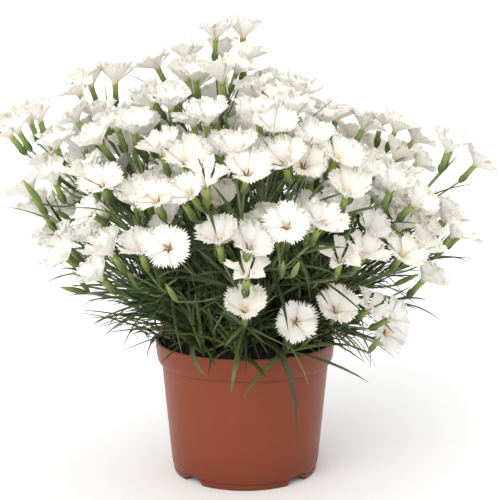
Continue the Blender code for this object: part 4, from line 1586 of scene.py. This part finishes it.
# The foot's bottom rows rise into an arch at each notch:
# height = notchHeight * (1 - (turn / half)^4) within half a notch of its middle.
def potSurface():
    rim, collar = layout["rimHeight"], layout["rimHeight"] - pot["collar"]
    radii = {
        "inner": pot["footRadius"] - pot["footWidth"], "foot": pot["footRadius"],
        "bodyFoot": pot["bodyFoot"], "bodyTop": pot["bodyTop"], "rim": layout["rimRadius"],
    }
    heights = {"ground": 0.0, "floor": pot["floor"], "collar": collar, "top": rim}
    foot, upper = (
        [(radii[radius] + out, heights[height] + rise, lift) for radius, out, height, rise, lift in pot[rows]]
        for rows in ("foot", "collarAndRim")
    )
    taper, wall = pot["bodyTop"] - pot["bodyFoot"], collar - pot["bodyStart"]
    shares = np.linspace(0.06, 0.97, pot["bodyRows"])
    body = [(pot["bodyFoot"] + taper * share, pot["bodyStart"] + wall * share, 0) for share in shares]
    profile = np.array(foot + body + upper)
    radius, height, follow = profile[:, :1], profile[:, 1:2], profile[:, 2:]
    turn = ringTurns(pot["sides"])
    gaps = [np.abs((turn - math.radians(t) + np.pi) % (2 * np.pi) - np.pi) for t in pot["notchTurns"]]
    half = math.radians(pot["notchAngle"] / 2)
    arch = pot["notchHeight"] * np.clip(1 - (np.min(gaps, axis=0) / half) ** 4, 0, 1)
    height = height + follow * np.maximum(arch[None] - height * (follow < 1) * 0.35, 0)
    return latheSurface(radius, height, (pot["floor"], pot["floor"] + pot["wall"]), 5)


# Four drain holes: upright cylinders, one at each notch's turn, cut through the floor
def cutDrains(piece):
    sides = pot["drainSides"]
    turn = ringTurns(sides)
    ring = pot["drainRadius"] * np.stack([np.cos(turn), np.sin(turn)], axis=1)
    heights = (pot["floor"] - 0.0020, pot["floor"] + pot["wall"] + 0.0020)
    spots, faces = [], []
    for place in pot["notchTurns"]:
        x, y = pot["drainRing"] * np.array([math.cos(math.radians(place)), math.sin(math.radians(place))])
        low, high = len(spots), len(spots) + sides
        spots += [(a + x, b + y, z) for z in heights for a, b in ring]
        steps = [(k, (k + 1) % sides) for k in range(sides)]
        faces += [[low + k, low + n, high + n, high + k] for k, n in steps]
        faces += [list(range(low, high))[::-1], list(range(high, high + sides))]
    mesh = bpy.data.meshes.new("drainCutter")
    mesh.from_pydata(spots, [], faces)
    cutter = addObject("drainCutter", mesh)
    cut = piece.modifiers.new("drains", "BOOLEAN")
    cut.operation, cut.solver, cut.object = "DIFFERENCE", "EXACT", cutter
    bpy.context.view_layer.objects.active = piece
    bpy.ops.object.modifier_apply(modifier=cut.name)
    bpy.data.objects.remove(cutter)
    piece.data.set_sharp_from_angle(angle=math.radians(40))
    print("drain holes cut,", len(piece.data.polygons), "faces")


# Root ball: rings over the mound, closed below, with lumps and crumbs
soil = {
    "rings": 46,
    "sides": 120,
    "width": 0.0600,
    "sunk": 0.0006,
    "gap": 0.0005,
    "lump": 0.0011,
    "crumbs": 2300,
    "crumbSize": (0.0005, 0.0019),
    "crumbReach": 0.0585,
    "seed": 5,
}


# The lumps are a sum of three sines: sin(x) * cos(y) + 0.6 * sin(x + y) + 0.5 * cos(y - x), each at a pitch
# of its own, and they fade out at the edge.
def moundSurface():
    share = np.linspace(0.02, 1, soil["rings"])[:, None]
    turn = ringTurns(soil["sides"])
    radius = share * soil["width"] + turn * 0
    x, y = radius * np.cos(turn), radius * np.sin(turn)
    lumps = np.sin(x * 410 + 1.3) * np.cos(y * 370) + 0.6 * np.sin(x * 890 + y * 640)
    lumps = (lumps + 0.5 * np.cos(y * 1250 - x * 700)) * soil["lump"] * np.clip((1 - share) * 6, 0, 1)
    height = moundHeight(radius) - soil["sunk"] + lumps
    inside = pot["bodyFoot"] - pot["wall"]
    below = np.array([
        (pot["bodyTop"] - pot["wall"] - soil["gap"], layout["rimHeight"] - pot["collar"] - 0.0020),
        (inside - soil["gap"], 0.0092),
        (inside - 0.0024, pot["floor"] + pot["wall"] + 0.0003),
    ])
    radius = np.concatenate([radius, below[:, :1] + turn * 0])
    height = np.concatenate([height, below[:, 1:] + turn * 0])
    return latheSurface(radius, height, (layout["moundTop"] - soil["sunk"], below[-1, 1]), 8)


# Crumbs: fourteen-cornered lumps, each squashed and turned its own way, half sunk in the mound
def crumbSurface():
    luck = np.random.default_rng(soil["seed"])
    count, (smallest, largest) = soil["crumbs"], soil["crumbSize"]
    radius = soil["crumbReach"] * np.sqrt(luck.uniform(0, 1, count))
    turn = luck.uniform(0, 2 * np.pi, count)
    size = smallest + (largest - smallest) * luck.uniform(0, 1, count) ** 2.5
    centre = np.stack([radius * np.cos(turn), radius * np.sin(turn), moundHeight(radius) + size * 0.4], axis=1)
    quarters = ((1, 0), (0, 1), (-1, 0), (0, -1))
    levels = ((1, 0, 0), (0.7, 0.7, 0.72), (0.6, 0.6, -0.7))
    corners = [(c * x - s * y, s * x + c * y, z) for x, y, z in levels for c, s in quarters]
    corners = np.array(corners + [(0, 0, 1.05), (0, 0, -1.0)])
    steps = [(k, (k + 1) % 4) for k in range(4)]
    faces = [(12, 4 + k, 4 + n) for k, n in steps] + [(13, 8 + n, 8 + k) for k, n in steps]
    faces += [(4 + k, n, 4 + n) for k, n in steps] + [(8 + k, 8 + n, n) for k, n in steps]
    faces += [face for k, n in steps for face in ((4 + k, k, n), (k, 8 + k, n))]
    shape = corners[None] * luck.uniform(0.65, 1.25, (count, len(corners), 1))
    shape = shape * luck.uniform(0.6, 1.3, (count, 1, 3))
    spin = luck.uniform(0, 2 * np.pi, count)
    cos, sin = np.cos(spin)[:, None], np.sin(spin)[:, None]
    x, y, z = shape[..., 0], shape[..., 1], shape[..., 2]
    shape = np.stack([x * cos - y * sin, x * sin + y * cos, z], axis=-1)
    points = centre[:, None] + shape * size[:, None, None]
    return {
        "points": points,
        "faces": [repeatFaces(np.array(faces), count, len(corners))],
        "uv": points[..., :2] * 8,
        "tint": luck.uniform(0, 1, (count, 1)) ** 3,
    }


# Dried leaves curled in two clumps over the rim, left and right, and a few on the soil
dried = {
    "seed": 41,
    "clumps": (((-0.061, -0.022, 0.107), 30), ((0.058, -0.034, 0.110), 34), ((0.000, 0.050, 0.108), 14)),
    "spread": (0.006, 0.006, 0.003),
    "length": 0.015,
    "halfWidth": 0.0011,
}


def driedSurface():
    luck = np.random.default_rng(dried["seed"])
    rows = []
    for centre, count in dried["clumps"]:
        roots = np.array(centre) + luck.normal(0, 1, (count, 3)) * np.array(dried["spread"])
        along = units(luck.normal(0, 1, (count, 3)) * np.array([1, 1, 0.5]) + up * 0.2)
        out = units(np.cross(along, luck.normal(0, 1, (count, 3))))
        size = dried["length"] * luck.uniform(0.5, 1.3, (count, 1))
        middle = roots + along * size * 0.5 + out * size * 0.18
        tip = middle + units(along + out * luck.uniform(-1.2, 0.4, (count, 1)) + down * 0.5) * size * 0.5
        half = dried["halfWidth"] * luck.uniform(0.6, 1.3, count)
        rows += [(roots[i], middle[i], tip[i], half[i], out[i], 0) for i in range(count)]
    rows = clearLeaves(rows, [])
    return leafSurface(rows, luck, luck.uniform(0, 1, len(rows)))


# Stems thin upwards and swell at the joints where leaf pairs sit. Twigs, shoots and crowns are plain tubes.
stemShape = {
    "rings": 14,
    "radius": 0.00092,
    "thinning": 0.72,
    "joint": 1.35,
    "twigRings": 8,
    "twigRadius": 0.00068,
    "shootTaper": (1.1, 0.4),
    "crown": (1.0, 1.04, 0.96, 1.0, 0.9, 0.5),
}


def stemSurfaces(sprays, stemPaths, twigPaths, shoots, crowns, luck):
    paths, twigLines, young = (
        [path for path, spray in rows if spray in sprays] for rows in (stemPaths, twigPaths, shoots)
    )
    paths, young = np.array(paths), np.array(young)
    thinning = np.linspace(1.0, stemShape["thinning"], stemShape["rings"])
    radii = np.tile(stemShape["radius"] * thinning, (len(paths), 1))
    radii[:, list(foliage["stemRings"])[::2]] *= stemShape["joint"]
    twigLines = smoothPaths(twigLines, stemShape["twigRings"], 1)
    twigRadii = np.full(twigLines.shape[:2], stemShape["twigRadius"])
    taper = np.linspace(*stemShape["shootTaper"], young.shape[1])
    youngRadii = np.full(young.shape[:2], stemShape["twigRadius"]) * taper
    crownLines = [[crowns[s][0], (crowns[s][0] + crowns[s][1]) / 2, crowns[s][1]] for s in sprays]
    crownLines = smoothPaths(crownLines, len(stemShape["crown"]), 0)
    crownRadii = np.tile(layout["crownRadius"] * np.array(stemShape["crown"]), (len(crownLines), 1))
    return [
        tubes(paths, radii, 7, luck.uniform(0, 1, len(paths))),
        tubes(twigLines, twigRadii, 6, luck.uniform(0, 1, len(twigLines))),
        tubes(young, youngRadii, 6, luck.uniform(0.3, 1, len(young))),
        tubes(crownLines, crownRadii, 9, np.full(len(crownLines), 0.2)),
    ]


# Calyces with their bracts, and buds
def calyxSurfaces(blooms, buds, luck):
    feet, facing = np.array([kneeOf(place) for place in blooms]), column(blooms, "facing")
    widths = calyx["radius"] * luck.uniform(0.90, 1.10, len(blooms))
    tones = luck.uniform(0, 1, len(blooms))
    return [
        calyxSurface(feet, facing, widths, tones),
        bractSurface(feet, facing, widths, luck, tones),
        budSurface(buds, luck),
    ]


# A tint for each leaf: random, and paler the higher the leaf sits
def leafTints(rows, luck):
    height = (np.array([leaf[1][2] for leaf in rows]) - foliage["paleFrom"]) / foliage["paleOver"]
    return np.clip(luck.normal(0.46, 0.22, len(rows)) + 0.35 * np.clip(height, 0, 1), 0, 1)


# Camera, lights and floor
studio = {
    "cameraPlace": (0.0036, -0.800, 0.2907),
    "cameraPitch": 0.160,
    "lens": 81.2,
    "sensor": 36,
    "sunPlace": (-0.50, -0.95, 0.60),
    "sunPower": 1.65,
    "sunSpread": 50.0,
    "skyHigh": 1.02,
    "skyLow": 1.24,
    "floorSize": 6.0,
    "floor": {"Base Color": (0.95, 0.95, 0.95, 1), "Roughness": 0.9, "Specular IOR Level": 0.1},
}


# XYZ angles of a turning matrix whose columns are the turned axes
def eulerOf(turn):
    tilt = math.asin(-np.clip(turn[2, 0], -1, 1))
    return (math.atan2(turn[2, 1], turn[2, 2]), tilt, math.atan2(turn[1, 0], turn[0, 0]))


# A white room: the walls are as bright as the floor, the ceiling is dimmer, and a wide soft sun is front left
def setStudio():
    scene = bpy.context.scene
    camera = bpy.data.cameras.new("photoCamera")
    camera.lens, camera.sensor_width = studio["lens"], studio["sensor"]
    scene.camera = addObject("photoCamera", camera)
    scene.camera.location = studio["cameraPlace"]
    scene.camera.rotation_euler = (math.pi / 2 - studio["cameraPitch"], 0, 0)
    light = bpy.data.lights.new("softSun", "SUN")
    light.energy, light.angle = studio["sunPower"], math.radians(studio["sunSpread"])
    back, side, over = frameOf(studio["sunPlace"])
    addObject("softSun", light).rotation_euler = eulerOf(np.stack([side, over, back], axis=1))
    world = bpy.data.worlds.new("whiteRoom")
    world.use_nodes = True
    room = Paint(world.node_tree)
    level = room.math("ABSOLUTE", room.parts(room.place("Generated"))[2])
    low, high = studio["skyLow"], studio["skyHigh"]
    sky = room.amount(level, (0.0, low), (0.30, low), (0.55, high), (1.0, high))
    room.links.new(sky, room.nodes["Background"].inputs[0])
    scene.world = world
    scene.view_settings.view_transform = "Standard"
    size = studio["floorSize"]
    mesh = bpy.data.meshes.new("floor")
    mesh.from_pydata([(-size, -size, 0), (size, -size, 0), (size, size, 0), (-size, size, 0)], [], [(0, 1, 2, 3)])
    mesh.materials.append(newPaint("paleFloor", studio["floor"]).material)
    addObject("floor", mesh)


# Which sprays each group of pieces is made from
groups = {"top": (0, 1, 2), "right": (3, 4, 9), "back": (5, 6), "left": (7, 8)}


def main():
    luck = random.Random(layout["seed"])
    heads = placeBlooms(luck)
    crowns, stems, paths, leaves, headSpray, room = grow(heads, luck)
    blooms = [place for head in heads for place in head]
    for place in blooms:
        place["spray"] = headSpray[place["head"]]
    print("layout", len(blooms), "blooms", len(leaves), "leaves", len(paths), "stems")
    extra, extraPaths = fillBlooms(blooms, room, stems)
    everyBloom = nameHabits(blooms + extra)
    buds, budPaths = addBuds(everyBloom, stems)
    twigPaths = [(path[:2], spray) for path, _, spray in paths if len(path) < 6] + extraPaths + budPaths
    lines, owners = zip(*[(path[:4], spray) for path, _, spray in paths if len(path) == 6])
    stemPaths = list(zip(smoothPaths(lines, stemShape["rings"], 2), owners))
    added, shoots = moreLeaves(crowns, stemPaths, everyBloom)
    leaves = snapLeaves(leaves, stemPaths) + added
    print("added", len(extra), "blooms", len(buds), "buds", len(added), "leaves", len(shoots), "shoots")

    fine = np.random.default_rng(layout["seed"])
    petalPaint, leafPaint, stemPaint, calyxPaint = petalMaterial(), leafMaterial(), stemMaterial(), calyxMaterial()
    for name, sprays in groups.items():
        mine = [place for place in everyBloom if place["spray"] in sprays]
        headNodes = sorted({f"head_{place['head'] + 1:02d}" for place in mine if place["head"] >= 0})
        sprayNodes = [f"spray_{spray + 1:02d}" for spray in sprays]
        makePiece(f"petals_{name}", [petalSurface(mine, fine)], petalPaint, headNodes, 70)
        rows = [leaf for leaf in leaves if leaf[5] in sprays]
        tint = leafTints(rows, fine)
        makePiece(f"leaves_{name}", [leafSurface(rows, fine, tint)], leafPaint, sprayNodes)
        surfaces = stemSurfaces(sprays, stemPaths, twigPaths, shoots, crowns, fine)
        makePiece(f"stems_{name}", surfaces, stemPaint, sprayNodes)
        surfaces = calyxSurfaces(mine, [line for line, spray in buds if spray in sprays], fine)
        makePiece(f"calyces_{name}", surfaces, calyxPaint, sprayNodes)
    makePiece("stamens", [stamenSurface(everyBloom, fine)], plainMaterial("stamenCream"))
    cutDrains(makePiece("nurseryPot", [potSurface()], potMaterial(), ("pot",), 40))
    soilPaint = plainMaterial("pottingSoil")
    makePiece("rootBall", [moundSurface(), crumbSurface()], soilPaint, ("soil",), 30)
    makePiece("driedLeaves", [driedSurface()], plainMaterial("driedLeaf"))
    setStudio()


main()
